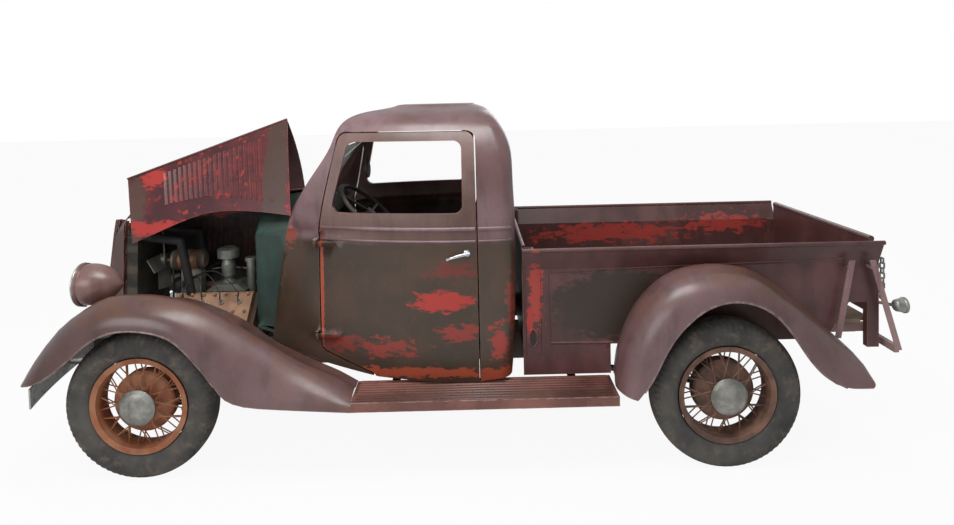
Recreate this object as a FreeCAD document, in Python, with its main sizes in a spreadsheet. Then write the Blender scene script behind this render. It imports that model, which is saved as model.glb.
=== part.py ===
"""A mid-1930s half-ton pickup truck, in millimetres.

The origin lies on the ground under the middle of the truck's length. The truck faces -X, its left
side is -Y and +Z is up. The front axle and the rear axle are the stations that the rest is set from.
"""
import FreeCAD, Part
import math
import os
import re
import types

import Sketcher
from FreeCAD import Placement, Rotation, Vector

# Driving dimensions: name, value, and what it measures.
SIZES = {
    # Overall
    "wheelbase": (2845, "front axle to rear axle"),
    "front_reach": (588, "front axle forward to the bumper's face"),
    "rear_reach": (977, "rear axle back to the tail lamp's lens"),
    "track_front": (1400, "between the middles of the front tyres"),
    "track_rear": (1470, "between the middles of the rear tyres"),
    "overrun": (20, "how far a cutting shape runs past what it cuts"),
    "seam": (0.3, "between two pieces that seat on each other"),
    "moving_gap": (6, "between a moving panel and its opening"),
    # Wheels
    "tyre_radius": (362, "ground to the wheel's middle"),
    "tyre_width": (160, "across the tyre's walls"),
    "tread_width": (112, "across the tread"),
    "rim_radius": (236, "to the rim flange's edge"),
    "rim_well": (205, "to the rim's inner face"),
    "rim_width": (124, "across both flanges"),
    "rim_wall": (5, "rim sheet"),
    "drum_radius": (150, "brake drum"),
    "drum_depth": (56, "brake drum along its axle"),
    "hub_radius": (62, "hub shell"),
    "hub_flange": (104, "front flange of the hub, where the outer spokes start"),
    "hub_reach": (78, "middle of the wheel out to the hub shell's end"),
    "cap_radius": (88, "hub cap"),
    "cap_reach": (104, "middle of the wheel out to the cap's face"),
    "bore_radius": (21, "bore in the hub"),
    "spindle_radius": (20, "spindle in that bore"),
    "spindle_reach": (60, "middle of the wheel out to the spindle's end"),
    "spoke_radius": (3.5, "one spoke"),
    "spoke_pairs": (12, "pairs of spokes in each of the two rows"),
    # Front axle and steering
    "kingpin_reach": (590, "middle of the truck out to a kingpin"),
    "kingpin_radius": (14, "kingpin"),
    "kingpin_boss": (26, "eye of the axle round the kingpin"),
    "kingpin_bore": (15.5, "bore of that eye"),
    "eye_low": (332, "underside of the axle's eye"),
    "eye_high": (392, "top of the axle's eye"),
    "yoke_plate": (20, "each arm of the knuckle's yoke"),
    "yoke_gap": (1, "between the yoke's arm and the axle's eye"),
    "beam_low": (268, "underside of the axle's dropped middle"),
    "beam_high": (325, "top of the axle's dropped middle"),
    "beam_width": (50, "axle beam, front to back"),
    "beam_web": (16, "web of the axle's I section"),
    "beam_flange": (13, "flange of the axle's I section"),
    "beam_drop": (440, "middle of the truck out to where the beam drops"),
    "steering_arm": (150, "kingpin back to the tie rod's ball"),
    "arm_low": (296, "underside of the steering arm"),
    "arm_plate": (16, "steering arm's thickness"),
    "rod_level": (272, "middle of the tie rod"),
    "rod_radius": (11, "tie rod and drag link"),
    "ball_radius": (19, "socket at a rod's end"),
    "stud_radius": (8, "ball stud"),
    "backing_radius": (146, "brake's backing plate"),
    "backing_plate": (6, "thickness of that plate"),
    "backing_gap": (5, "between the backing plate and the drum"),
    "drag_arm": (180, "kingpin in to the drag link's ball"),
    "box_station": (430, "front axle back to the steering box"),
    "box_level": (500, "sector shaft above the ground"),
    "box_size": (72, "steering box, across"),
    "pitman_length": (150, "sector shaft down to the drag link's ball"),
    "pitman_plate": (14, "pitman arm's thickness"),
    "wheel_station": (1085, "front axle back to the steering wheel's hub"),
    "wheel_level": (1210, "steering wheel's hub above the ground"),
    "driver_reach": (340, "middle of the truck out to the driver's middle"),
    "steering_radius": (208, "steering wheel's rim"),
    "steering_rim": (12, "half the thickness of that rim"),
    "column_radius": (22, "steering column's tube"),
    # Frame
    "rail_reach": (370, "middle of the truck out to a rail's outer face"),
    "rail_flange": (46, "width of the rail's flanges"),
    "rail_wall": (6, "rail's sheet"),
    "rail_low": (400, "underside of the rails amidships"),
    "rail_depth": (140, "rails amidships"),
    "rail_tip_depth": (85, "rails at their ends"),
    "rail_front_low": (440, "underside of the rails over the front axle"),
    "rail_rear_low": (500, "underside of the rails over the rear axle"),
    "rail_front": (430, "front axle forward to the rails' tips"),
    "rail_rear": (860, "rear axle back to the rails' ends"),
    "kick_near": (350, "rear axle to where the rails' kick-up is full"),
    "kick_far": (740, "rear axle forward to where the kick-up starts"),
    "cross_width": (90, "a cross member, front to back"),
    "brace_front": (640, "front axle back to the X brace's front end"),
    "brace_rear": (1860, "front axle back to the X brace's rear end"),
    "brace_low": (470, "underside of the X brace"),
    "brace_wall": (10, "X brace's web"),
    "brace_width": (60, "X brace's flange"),
    # Springs and rear axle
    "leaf_width": (48, "spring leaves"),
    "leaf_pack": (38, "leaf pack at its middle"),
    "leaf_tip": (14, "leaf pack at its eyes"),
    "front_leaf_reach": (520, "middle of the truck out to a front spring eye"),
    "rear_leaf_reach": (560, "middle of the truck out to a rear spring eye"),
    "shackle_width": (20, "spring shackle"),
    "axle_tube": (38, "rear axle's tube"),
    "banjo_radius": (95, "differential housing"),
    "banjo_half": (90, "differential housing, middle to where its bells end"),
    "torque_radius": (34, "torque tube"),
    "radius_rod": (16, "radius rods"),
    # Engine
    "engine_front": (-95, "front axle back to the block's front face"),
    "engine_length": (480, "block"),
    "crank_level": (425, "crankshaft above the ground"),
    "deck_reach": (262, "crankshaft out to the block's deck"),
    "deck_half": (140, "half the deck's width"),
    "head_thick": (50, "cylinder head"),
    "head_half": (132, "half the head's width"),
    "head_front": (-67, "front axle back to a head's front end"),
    "head_length": (430, "cylinder head"),
    "pan_half": (115, "half the oil pan's width"),
    "pan_low": (346, "underside of the oil pan"),
    "bell_length": (120, "bell housing"),
    "bell_radius": (185, "bell housing at the engine"),
    "gearbox_length": (330, "gearbox"),
    "gearbox_radius": (95, "gearbox"),
    "lever_station": (770, "front axle back to the gear lever's foot"),
    "lever_high": (905, "gear lever's knob above the ground"),
    "lever_radius": (8, "gear lever"),
    "manifold_low": (640, "underside of the intake manifold"),
    "manifold_high": (760, "top of the intake manifold"),
    "manifold_half": (82, "half the manifold's width"),
    "manifold_front": (70, "front axle back to the manifold"),
    "manifold_length": (230, "manifold"),
    "carburettor_station": (177, "front axle back to the carburettor"),
    "carburettor_radius": (40, "carburettor's bowl"),
    "carburettor_high": (905, "top of the carburettor"),
    "filter_radius": (62, "air cleaner"),
    "filter_depth": (60, "air cleaner, top to bottom"),
    "generator_front": (-160, "front axle back to the generator's front end"),
    "generator_length": (205, "generator"),
    "generator_radius": (58, "generator"),
    "generator_level": (895, "middle of the generator above the ground"),
    "filler_station": (310, "front axle back to the oil filler"),
    "filler_radius": (26, "oil filler pipe"),
    "filler_high": (880, "top of the oil filler"),
    "fan_station": (-205, "front axle back to the fan"),
    "fan_radius": (165, "fan blades"),
    "fan_hub": (38, "fan's hub"),
    "fan_shaft": (12, "fan's shaft"),
    "blade_width": (85, "fan blade"),
    "blade_thick": (4, "fan blade"),
    "blade_pitch": (28, "fan blade's angle in degrees"),
    "core_front": (-335, "front axle back to the radiator's front face"),
    "core_depth": (62, "radiator core"),
    "core_half": (212, "half the core's width at its foot"),
    "core_top_half": (160, "half the core's width under its top tank"),
    "core_low": (560, "foot of the radiator"),
    "core_high": (1120, "top of the radiator"),
    "hose_radius": (25, "water hoses"),
    "hose_reach": (135, "middle of the truck out to a top hose"),
    "exhaust_radius": (24, "exhaust pipe"),
    "silencer_radius": (62, "silencer"),
    "exhaust_reach": (300, "middle of the truck out to the exhaust pipe"),
    "exhaust_level": (325, "exhaust pipe above the ground"),
    # Nose
    "shell_rear": (-340, "front axle back to the hood's front edge"),
    "shell_crown": (1215, "top of the radiator shell at its middle"),
    "shell_half": (180, "half the shell's width at its shoulder"),
    "shell_shoulder": (1135, "shell's shoulder above the ground"),
    "shell_foot_half": (232, "half the shell's width at its foot"),
    "shell_foot": (600, "shell's foot above the ground"),
    "shell_wall": (5, "shell's sheet"),
    "nose_top": (-452, "front axle back to the grille's ridge at its top"),
    "nose_foot": (-545, "front axle back to the grille's ridge at its foot"),
    "grille_set": (62, "how far the grille's sides lie behind its ridge"),
    "shell_drop": (62, "how far the shell's front lies below its rear"),
    "nose_share": (0.72, "width of the shell's front over its rear"),
    "grille_bar": (7, "a grille bar"),
    "grille_pitch": (21, "between two grille bars"),
    "lamp_station": (-358, "front axle back to the headlamp's lens"),
    "lamp_reach": (560, "middle of the truck out to a headlamp"),
    "lamp_level": (912, "headlamp above the ground"),
    "lamp_radius": (108, "headlamp's rim"),
    "lamp_length": (208, "headlamp, lens to tail"),
    "lamp_wall": (4, "headlamp's shell"),
    "lamp_post": (16, "post under a headlamp"),
    "bumper_half": (830, "half the bumper's width"),
    "bumper_low": (395, "underside of the bumper"),
    "bumper_depth": (95, "bumper's blade, top to bottom"),
    "bumper_plate": (8, "bumper's blade"),
    "bumper_sweep": (110, "how far the bumper's ends lie behind its middle"),
    "bumper_iron": (34, "bumper iron, top to bottom"),
    # Hood
    "hood_plate": (2.5, "hood's sheet"),
    "cowl_seam": (652, "front axle back to the hood's rear edge at its shoulder"),
    "cowl_lean": (86, "how far that edge leans forward down to its foot"),
    "cowl_crown": (1300, "cowl's top at the hood's rear edge"),
    "cowl_half": (430, "half the cowl's width at its shoulder"),
    "cowl_shoulder": (1150, "cowl's shoulder above the ground"),
    "cowl_foot_half": (440, "half the cowl's width at the hood's rear foot"),
    "cowl_foot": (590, "hood's rear foot above the ground"),
    "hood_bulge": (16, "how far the hood's top rises between its hinges"),
    "hood_open": (88, "rise of an open hood top in degrees"),
    "hood_fold": (68, "turn of a hood side under its raised top in degrees"),
    "hinge_radius": (6, "a hood or gate hinge's barrel"),
    "firewall_station": (463, "front axle back to the firewall"),
    "firewall_inset": (14, "how far the firewall's sides lie inside the hood"),
    "firewall_wall": (5, "firewall's sheet"),
    "firewall_foot": (615, "foot of the firewall above the ground"),
    "louvre_count": (20, "louvres in a hood side"),
    "louvre_first_share": (0.235, "first louvre, part way along the hood"),
    "louvre_last_share": (0.83, "last louvre, part way along the hood"),
    "louvre_top_share": (0.12, "louvres' tops, part way down the side"),
    "louvre_front_share": (0.55, "louvres' feet at the front, part way down the side"),
    "louvre_rear_share": (0.93, "louvres' feet at the rear, part way down the side"),
    "louvre_width": (20, "one louvre"),
    "louvre_rise": (9, "how far a louvre stands out"),
    # Cab
    "cab_rear": (1845, "front axle back to the cab's rear wall"),
    "cab_wall": (34, "cab's walls, outer skin to lining"),
    "cab_half": (690, "half the cab's width at its belt"),
    "cab_belt": (1150, "belt above the ground"),
    "cab_low": (404, "cab's lowest edge"),
    "cab_roof": (1785, "roof above the ground"),
    "floor_plate": (12, "cab floor"),
    "dash_depth": (110, "dash, top to bottom"),
    "pedal_pitch": (75, "between two pedals"),
    "cab_tuck": (28, "how far the cab's back leans in below and above its belt"),
    "cab_corner": (70, "cab's rear corners"),
    "cowl_rise": (60, "how far the cowl's shoulder rises to the windscreen"),
    "door_front": (843, "front axle back to the door's front edge"),
    "door_rear": (1660, "front axle back to the door's rear edge"),
    "door_top": (1655, "top of the door"),
    "door_hinge_set": (22, "hinge's axis outside the door's skin"),
    "door_hinge_lead": (16, "hinge's axis ahead of the door's front edge"),
    "door_swing": (65, "door's opening in degrees"),
    "door_strap": (95, "length of a door hinge's strap"),
    "hinge_barrel": (9, "a door hinge's barrel"),
    "sill_high": (545, "foot of the door at its front edge"),
    "sight_low": (1250, "foot of the door's window"),
    "sight_high": (1605, "top of the door's window"),
    "sight_front": (945, "front axle back to the window's front edge"),
    "sight_rear": (1586, "front axle back to the window's rear edge"),
    "sight_corner": (52, "window's corners"),
    "screen_base": (1306, "foot of the windscreen"),
    "screen_top": (1582, "top of the windscreen"),
    "screen_half": (470, "half the windscreen's width"),
    "screen_station": (735, "front axle back to the windscreen's foot"),
    "screen_rake": (170, "how far the windscreen's top lies behind its foot"),
    "glass_plate": (5, "window glass"),
    "back_sight_half": (330, "half the rear window's width"),
    "back_sight_low": (1290, "foot of the rear window"),
    "back_sight_high": (1490, "top of the rear window"),
    "seat_front": (1290, "front axle back to the seat's front edge"),
    "seat_base": (640, "top of the seat's box"),
    "seat_thick": (150, "seat cushion"),
    "seat_half": (560, "half the seat's width"),
    "seat_back_high": (1235, "top of the seat's back"),
    "seat_back_thick": (130, "seat's back"),
    # Bed
    "bed_front": (1880, "front axle back to the bed's front panel"),
    "bed_rear": (853, "rear axle back to the bed's tailgate end"),
    "bed_half": (590, "half the bed's width at its sides"),
    "bed_floor": (645, "bed's floor above the ground"),
    "bed_floor_plate": (22, "bed's floor"),
    "bed_sheet": (5, "bed's sheet"),
    "bed_bend": (940, "where the bed's side starts to flare"),
    "bed_rail": (1058, "bed's rail above the ground"),
    "bed_flare": (50, "how far the rail stands outside the side"),
    "rail_roll": (11, "roll along the bed's rail"),
    "bed_crease": (550, "foot of the bed's side sheet"),
    "apron_low": (399, "foot of the splash apron"),
    "apron_rear": (2325, "front axle back to the splash apron's rear end"),
    "gate_thick": (26, "tailgate"),
    "gate_swing": (90, "tailgate's opening in degrees"),
    "post_depth": (60, "bed's corner posts, front to back"),
    "post_width": (38, "bed's corner posts, side to side"),
    "tail_notch": (185, "height of the notch cut from the side behind the fender"),
    "stake_pocket_width": (42, "slot in the front post"),
    "stake_pocket_height": (86, "slot in the front post"),
    "strut_width": (30, "flat strut at the bed's rear"),
    "strut_plate": (6, "flat strut at the bed's rear"),
    "strut_reach": (634, "middle of the truck out to a strut"),
    "strut_lead": (163, "front strut's head ahead of the bed's end"),
    "strut_spread": (132, "how far a strut's foot stands off its head"),
    "strut_foot_front": (568, "foot of the front strut above the ground"),
    "iron_depth": (50, "rear bumper iron, top to bottom"),
    "iron_plate": (12, "rear bumper iron"),
    "tail_lamp_radius": (40, "tail lamp"),
    "tail_lamp_length": (72, "tail lamp, front to back"),
    "tail_lamp_level": (722, "tail lamp above the ground"),
    "tail_lamp_reach": (620, "middle of the truck out to the tail lamp"),
    "link_wire": (4.5, "chain wire's radius"),
    "link_half": (13, "half a chain link's length between its bends"),
    "chain_links": (8, "links hanging in each run of a chain"),
    # Fenders and boards
    "fender_sheet": (5, "fender's sheet"),
    "fender_swell": (26, "how far a fender swells inside its crown"),
    "fender_shoulder": (155, "a front fender's lip outside its crown"),
    "seat_gap": (0.9, "between a curved sheet and what it seats on"),
    "fender_run": (1597, "front fender, nose to running board"),
    "fender_nose": (560, "front axle forward to the fender's nose"),
    "fender_top": (895, "front fender's crown above the ground"),
    "fender_half": (855, "half the width across the front fenders"),
    "rear_fender_run": (1215, "rear fender, front to tail"),
    "rear_fender_lead": (530, "rear axle forward to the fender's front edge"),
    "rear_fender_top": (955, "rear fender's crown above the ground"),
    "rear_fender_half": (880, "half the width across the rear fenders"),
    "board_half": (842, "half the width across the running boards"),
    "board_inner": (596, "middle of the truck out to a board's inner edge"),
    "board_low": (345, "underside of a running board"),
    "board_high": (396, "top of a running board"),
    "board_sheet": (6, "running board's sheet"),
    "board_rib": (5, "height of a board's ribs"),
    "board_ribs": (9, "ribs along a board"),
}

doc = FreeCAD.newDocument("pickup_truck")
sheet = doc.addObject("Spreadsheet::Sheet", "sizes")
for row, (alias, (value, meaning)) in enumerate(SIZES.items(), 1):
    sheet.set(f"A{row}", alias)
    sheet.set(f"B{row}", str(value))
    sheet.set(f"C{row}", meaning)
    sheet.setAlias(f"B{row}", alias)
doc.recompute()

s = types.SimpleNamespace(**{alias: float(sheet.get(alias)) for alias in SIZES})

# Stations worked out from the driving dimensions, for expressions and for plain sums.
FRONT = "((front_reach - rear_reach - wheelbase) / 2)"
REAR = f"({FRONT} + wheelbase)"
WORD = re.compile(r"[a-z_][a-z0-9_]*")


def worth(text):
    """What an expression of the sheet's names comes to."""
    return float(sheet.evalExpression(str(text)))


def linked(text):
    """The same expression as another object of the document reads it."""
    return WORD.sub(lambda found: "sizes." + found[0] if found[0] in SIZES else found[0], str(text))


front_axle = worth(FRONT)
rear_axle = worth(REAR)
NODES = []


def keep(thing, label):
    """Marks an object as a sub-part with its own label."""
    thing.Label = label
    NODES.append(thing)
    return thing


# Sketches and features

def draw_loop(sketch, points):
    """One closed outline: a point is (across, up), and (across, up, via across, via up) where the edge
    that arrives at it is an arc through the via point."""
    spots = [Vector(worth(point[0]), worth(point[1]), 0) for point in points]
    edges = []
    for index, point in enumerate(points):
        before = spots[index - 1]
        here = spots[index]
        if len(point) == 4:
            via = Vector(worth(point[2]), worth(point[3]), 0)
            ends = (before, here) if (via - before).cross(here - via).z > 0 else (here, before)
            edge = sketch.addGeometry(Part.Arc(ends[0], via, ends[1]), False)
            mark = sketch.addGeometry(Part.Point(via), True)
            sketch.addConstraint(Sketcher.Constraint("PointOnObject", mark, 1, edge))
            fix_point(sketch, mark, 1, point[2], point[3])
        else:
            edge = sketch.addGeometry(Part.LineSegment(before, here), False)
        starts = (sketch.getPoint(edge, 1) - before).Length < (sketch.getPoint(edge, 2) - before).Length
        edges.append((edge, 1 if starts else 2, 2 if starts else 1))
    for index, point in enumerate(points):
        edge, start, end = edges[index]
        following = edges[(index + 1) % len(points)]
        sketch.addConstraint(Sketcher.Constraint("Coincident", edge, end, following[0], following[1]))
        fix_point(sketch, edge, end, point[0], point[1])


def fix_point(sketch, edge, which, across, up):
    """Holds a point at named distances from the sketch's origin."""
    for kind, text in (("DistanceX", across), ("DistanceY", up)):
        index = sketch.addConstraint(Sketcher.Constraint(kind, -1, 1, edge, which, worth(text)))
        sketch.setExpression(f"Constraints[{index}]", linked(text))


def draw_circle(sketch, across, up, radius):
    """One circle at a named place with a named radius."""
    middle = Vector(worth(across), worth(up), 0)
    edge = sketch.addGeometry(Part.Circle(middle, Vector(0, 0, 1), worth(radius)), False)
    fix_point(sketch, edge, 3, across, up)
    index = sketch.addConstraint(Sketcher.Constraint("Radius", edge, worth(radius)))
    sketch.setExpression(f"Constraints[{index}]", linked(radius))


def sketch_on(body, name, plane, height, loops):
    """A sketch on one of the body's own planes, raised to a height along the plane's normal."""
    role = {"XY": "XY_Plane", "XZ": "XZ_Plane", "YZ": "YZ_Plane"}[plane]
    origin_plane = [feature for feature in body.Origin.OriginFeatures if feature.Role == role][0]
    sketch = body.newObject("Sketcher::SketchObject", name)
    sketch.AttachmentSupport = [(origin_plane, "")]
    sketch.MapMode = "FlatFace"
    sketch.setExpression(".AttachmentOffset.Base.z", linked(height))
    for loop in loops:
        if isinstance(loop, tuple):
            draw_circle(sketch, *loop)
        else:
            draw_loop(sketch, loop)
    return sketch


def new_body(name):
    """An empty body."""
    return doc.addObject("PartDesign::Body", name)


def pad(body, plane, low, high, *loops):
    """Adds a prism that spans low to high along the world axis across the plane. XZ sketches face -Y."""
    base = f"-({high})" if plane == "XZ" else low
    number = len(body.Group)
    feature = body.newObject("PartDesign::Pad", f"{body.Name}_pad{number}")
    sketch = sketch_on(body, f"{body.Name}_outline{number}", plane, base, loops)
    feature.Profile = sketch
    feature.setExpression("Length", linked(f"({high}) - ({low})"))
    body.Tip = feature
    return feature


def pocket(body, plane, low, high, *loops):
    """Takes away a prism that spans low to high along the world axis across the plane."""
    base = f"-({low})" if plane == "XZ" else high
    number = len(body.Group)
    feature = body.newObject("PartDesign::Pocket", f"{body.Name}_pocket{number}")
    sketch = sketch_on(body, f"{body.Name}_outline{number}", plane, base, loops)
    feature.Profile = sketch
    feature.setExpression("Length", linked(f"({high}) - ({low})"))
    body.Tip = feature
    return feature


def turn(body, plane, axis, *loops):
    """Adds a solid of revolution about the sketch's own H_Axis or V_Axis."""
    number = len(body.Group)
    feature = body.newObject("PartDesign::Revolution", f"{body.Name}_turn{number}")
    sketch = sketch_on(body, f"{body.Name}_outline{number}", plane, "0", loops)
    feature.Profile = sketch
    feature.ReferenceAxis = (sketch, [axis])
    feature.Angle = 360
    body.Tip = feature
    return feature


def place(thing, x, y, z, turned=None):
    """Sets a placement by expressions, after an optional turn."""
    if turned:
        thing.Placement = Placement(Vector(), turned)
    for letter, text in zip("xyz", (x, y, z)):
        thing.setExpression(f".Placement.Base.{letter}", linked(text))
    return thing


def corners(low_a, low_b, high_a, high_b):
    """A rectangle's outline."""
    return [(low_a, low_b), (high_a, low_b), (high_a, high_b), (low_a, high_b)]


def rod(name, start, end, radius):
    """A round bar between two points, its radius bound to the sheet."""
    bar = doc.addObject("Part::Cylinder", name)
    bar.setExpression("Radius", linked(radius))
    bar.Height = (end - start).Length
    bar.Placement = Placement(start, Rotation(Vector(0, 0, 1), end - start))
    return bar


def ball(name, middle, radius):
    """A ball at a point."""
    sphere = doc.addObject("Part::Sphere", name)
    sphere.setExpression("Radius", linked(radius))
    sphere.Placement = Placement(middle, Rotation())
    return sphere


def joined(label, *things):
    """Several shapes made one sub-part."""
    fusion = doc.addObject("Part::MultiFuse", label)
    fusion.Shapes = list(things)
    return keep(fusion, label)


def mirrored(label, thing):
    """The same sub-part on the truck's other side."""
    twin = doc.addObject("Part::Mirroring", label)
    twin.Source = thing
    twin.Base = Vector()
    twin.Normal = Vector(0, 1, 0)
    return keep(twin, label)


def formed(label, shape):
    """A sub-part whose shape comes from surfaces."""
    feature = doc.addObject("Part::Feature", label)
    feature.Shape = shape
    return keep(feature, label)


# Sheet-metal surfaces

def sheet_normals(rows):
    """Unit normals of a grid of points, from the differences between its neighbours."""
    last_row = len(rows) - 1
    last_column = len(rows[0]) - 1
    normals = []
    for i, row in enumerate(rows):
        line = []
        for j in range(len(row)):
            along = rows[min(i + 1, last_row)][j] - rows[max(i - 1, 0)][j]
            across = row[min(j + 1, last_column)] - row[max(j - 1, 0)]
            normal = along.cross(across)
            normal.normalize()
            line.append(normal)
        normals.append(line)
    return normals


def refined(line):
    """A line of points with one more between each two, on the smooth curve through them."""
    closer = []
    for i, (here, following) in enumerate(zip(line, line[1:])):
        before = line[i - 1] if i else here * 2 - following
        after = line[i + 2] if i + 2 < len(line) else following * 2 - here
        closer += [here, (here + following) * (9 / 16) - (before + after) * (1 / 16)]
    return closer + line[-1:]


def pressed_sheet(rows, thick):
    """A pressed sheet between a grid of points and the same grid moved along its normals. Each side is
    a smooth surface through its points, in flat facets, two for each step of the grid."""
    normals = sheet_normals(rows)
    beneath = [[point + normal * thick for point, normal in zip(row, line)]
               for row, line in zip(rows, normals)]
    along = 2 * (len(rows) - 1)
    across = 2 * (len(rows[0]) - 1)
    points = []
    for grid in (rows, beneath):
        columns = [refined(list(column)) for column in zip(*[refined(row) for row in grid])]
        points += [point for row in zip(*columns) for point in row]
    wide = across + 1
    under = (along + 1) * wide
    quads = []
    for i in range(along):
        for j in range(across):
            corner = i * wide + j
            quads.append((corner, corner + 1, corner + wide + 1, corner + wide))
            quads.append((under + corner, under + corner + wide, under + corner + wide + 1, under + corner + 1))
    rim = list(range(across)) + [i * wide + across for i in range(along)]
    rim += [under - 1 - j for j in range(across)] + [(along - i) * wide for i in range(along)]
    for here, following in zip(rim, rim[1:] + rim[:1]):
        quads.append((following, here, under + here, under + following))
    triangles = [(a, b, c) for a, b, c, d in quads] + [(a, c, d) for a, b, c, d in quads]
    shell = Part.Shape()
    shell.makeShapeFromMesh((points, triangles), s.seam / 10)
    solid = Part.makeSolid(shell)
    if solid.Volume < 0:
        solid.reverse()
    return solid


def at(station, y, z):
    """A point by its station behind the front axle."""
    return Vector(front_axle + station, y, z)


def prism(points, direction):
    """A straight-sided solid on a closed outline of points."""
    return Part.Face(Part.makePolygon(points + points[:1])).extrude(direction)


def part_way(low, high, share):
    """The value at a share of the way from low to high."""
    return low + (high - low) * share


# Wheels, with the middle of the wheel at the body's origin and its outer side at -Y

def make_tyre(label, x, y, turned):
    body = new_body(label)
    inner = "rim_radius - rim_wall"
    bead = "rim_radius + seam"
    side = "rim_width / 2 - rim_wall - seam"
    turn(body, "XY", "V_Axis", [
        (inner, f"-({side})"),
        (bead, f"-({side})"),
        (bead, "-rim_width / 2"),
        ("tyre_radius", "-tread_width / 2", "(rim_radius + tyre_radius) / 2", "-tyre_width / 2"),
        ("tyre_radius", "tread_width / 2"),
        (bead, "rim_width / 2", "(rim_radius + tyre_radius) / 2", "tyre_width / 2"),
        (bead, side),
        (inner, side),
    ])
    place(body, x, y, "tyre_radius", turned)
    return keep(body, label)


def make_wheel(label, x, y, turned):
    """Rim, two rows of wire spokes, hub shell, brake drum and cap."""
    body = new_body(f"{label}_body")
    turn(body, "XY", "V_Axis", [
        ("rim_radius - rim_wall - seam", "-rim_width / 2 + rim_wall"),
        ("rim_radius - rim_wall - seam", "rim_width / 2 - rim_wall"),
        ("rim_radius", "rim_width / 2 - rim_wall"),
        ("rim_radius", "rim_width / 2"),
        ("rim_well + rim_wall", "rim_width / 2 - rim_wall"),
        ("rim_well", "rim_width / 4"),
        ("rim_well", "-rim_width / 4"),
        ("rim_well + rim_wall", "-rim_width / 2 + rim_wall"),
        ("rim_radius", "-rim_width / 2"),
        ("rim_radius", "-rim_width / 2 + rim_wall"),
    ])
    turn(body, "XY", "V_Axis", [
        ("bore_radius", "drum_depth"),
        ("bore_radius", "-spindle_reach - overrun / 4"),
        ("0", "-spindle_reach - overrun / 4"),
        ("0", "-cap_reach"),
        ("cap_radius", "-hub_reach", "cap_radius * 0.72", "-(cap_reach + hub_reach * 2) / 3"),
        ("cap_radius - rim_wall", "-hub_reach + rim_wall * 2"),
        ("hub_radius", "-hub_reach + rim_wall * 2"),
        ("hub_radius", "-rim_width / 4", "hub_radius * 0.86", "-(hub_reach + rim_width / 4) / 2"),
        ("hub_flange", "-rim_width / 8"),
        ("drum_radius - rim_wall * 2", "-rim_wall"),
        ("drum_radius", "rim_wall"),
        ("drum_radius", "drum_depth"),
        ("drum_radius - rim_wall", "drum_depth"),
        ("drum_radius - rim_wall", "rim_wall * 2"),
        ("hub_radius", "rim_wall * 2"),
        ("hub_radius / 2", "drum_depth"),
    ])
    place(body, x, y, "tyre_radius", turned)
    spokes = []
    step = 2 * math.pi / s.spoke_pairs
    for pair in range(int(s.spoke_pairs)):
        for way in (-1, 1):
            low = step * pair
            high = low + way * step * 1.3
            hub_end = Vector(s.hub_radius * 0.9 * math.cos(low), -s.hub_reach * 0.75,
                             s.hub_radius * 0.9 * math.sin(low))
            rim_end = Vector((s.rim_well + s.rim_wall / 2) * math.cos(high), -s.rim_width / 8,
                             (s.rim_well + s.rim_wall / 2) * math.sin(high))
            spokes.append(spoke(hub_end, rim_end))
            low = step * (pair + 0.5)
            high = low + way * step * 0.7
            hub_end = Vector(s.hub_flange * 0.9 * math.cos(low), -s.rim_width / 8,
                             s.hub_flange * 0.9 * math.sin(low))
            rim_end = Vector((s.rim_well + s.rim_wall / 2) * math.cos(high), s.rim_width / 8,
                             (s.rim_well + s.rim_wall / 2) * math.sin(high))
            spokes.append(spoke(hub_end, rim_end))
    lacing = doc.addObject("Part::Feature", f"{label}_spokes")
    lacing.Shape = Part.makeCompound(spokes)
    lacing.Placement = Placement(Vector(), turned)
    for letter, text in zip("xyz", (x, y, "tyre_radius")):
        lacing.setExpression(f".Placement.Base.{letter}", linked(text))
    return joined(label, body, lacing)


def spoke(start, end):
    """A four-sided wire between two points."""
    run = end - start
    side = run.cross(Vector(0, 1, 0))
    side.normalize()
    rise = run.cross(side)
    rise.normalize()
    ring = [start + side * s.spoke_radius, start + rise * s.spoke_radius,
            start - side * s.spoke_radius, start - rise * s.spoke_radius]
    return prism(ring, run)


LEFT = Rotation()
RIGHT = Rotation(Vector(0, 0, 1), 180)
for end_name, station, track in (("front", FRONT, "track_front"), ("rear", REAR, "track_rear")):
    make_tyre(f"tyre_{end_name}_left", station, f"-{track} / 2", LEFT)
    make_tyre(f"tyre_{end_name}_right", station, f"{track} / 2", RIGHT)
    make_wheel(f"wheel_{end_name}_left", station, f"-{track} / 2", LEFT)
    make_wheel(f"wheel_{end_name}_right", station, f"{track} / 2", RIGHT)


# Front axle: a dropped I beam with an eye at each end, and its radius rods

axle = new_body("axle_beam")
ends = "kingpin_reach - kingpin_boss / 2"
pad(axle, "YZ", f"{FRONT} - beam_width / 2", f"{FRONT} + beam_width / 2", [
    (f"-({ends})", "eye_high - beam_flange / 2"),
    (f"-({ends})", "eye_low + beam_flange / 2"),
    ("-beam_drop", "beam_low"),
    ("beam_drop", "beam_low"),
    (ends, "eye_low + beam_flange / 2"),
    (ends, "eye_high - beam_flange / 2"),
    ("beam_drop", "beam_high"),
    ("-beam_drop", "beam_high"),
])
for low, high in ((f"{FRONT} - beam_width / 2 - overrun", f"{FRONT} - beam_web / 2"),
                  (f"{FRONT} + beam_web / 2", f"{FRONT} + beam_width / 2 + overrun")):
    pocket(axle, "YZ", low, high, corners("-beam_drop", "beam_low + beam_flange",
                                          "beam_drop", "beam_high - beam_flange"))
for side in ("-", ""):
    pad(axle, "XY", "eye_low", "eye_high", (FRONT, f"{side}kingpin_reach", "kingpin_boss"))
for side in ("-", ""):
    pocket(axle, "XY", "eye_low - overrun", "eye_high + overrun",
           (FRONT, f"{side}kingpin_reach", "kingpin_bore"))
ball_station = s.engine_front + s.engine_length + s.bell_length + s.gearbox_length
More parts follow.
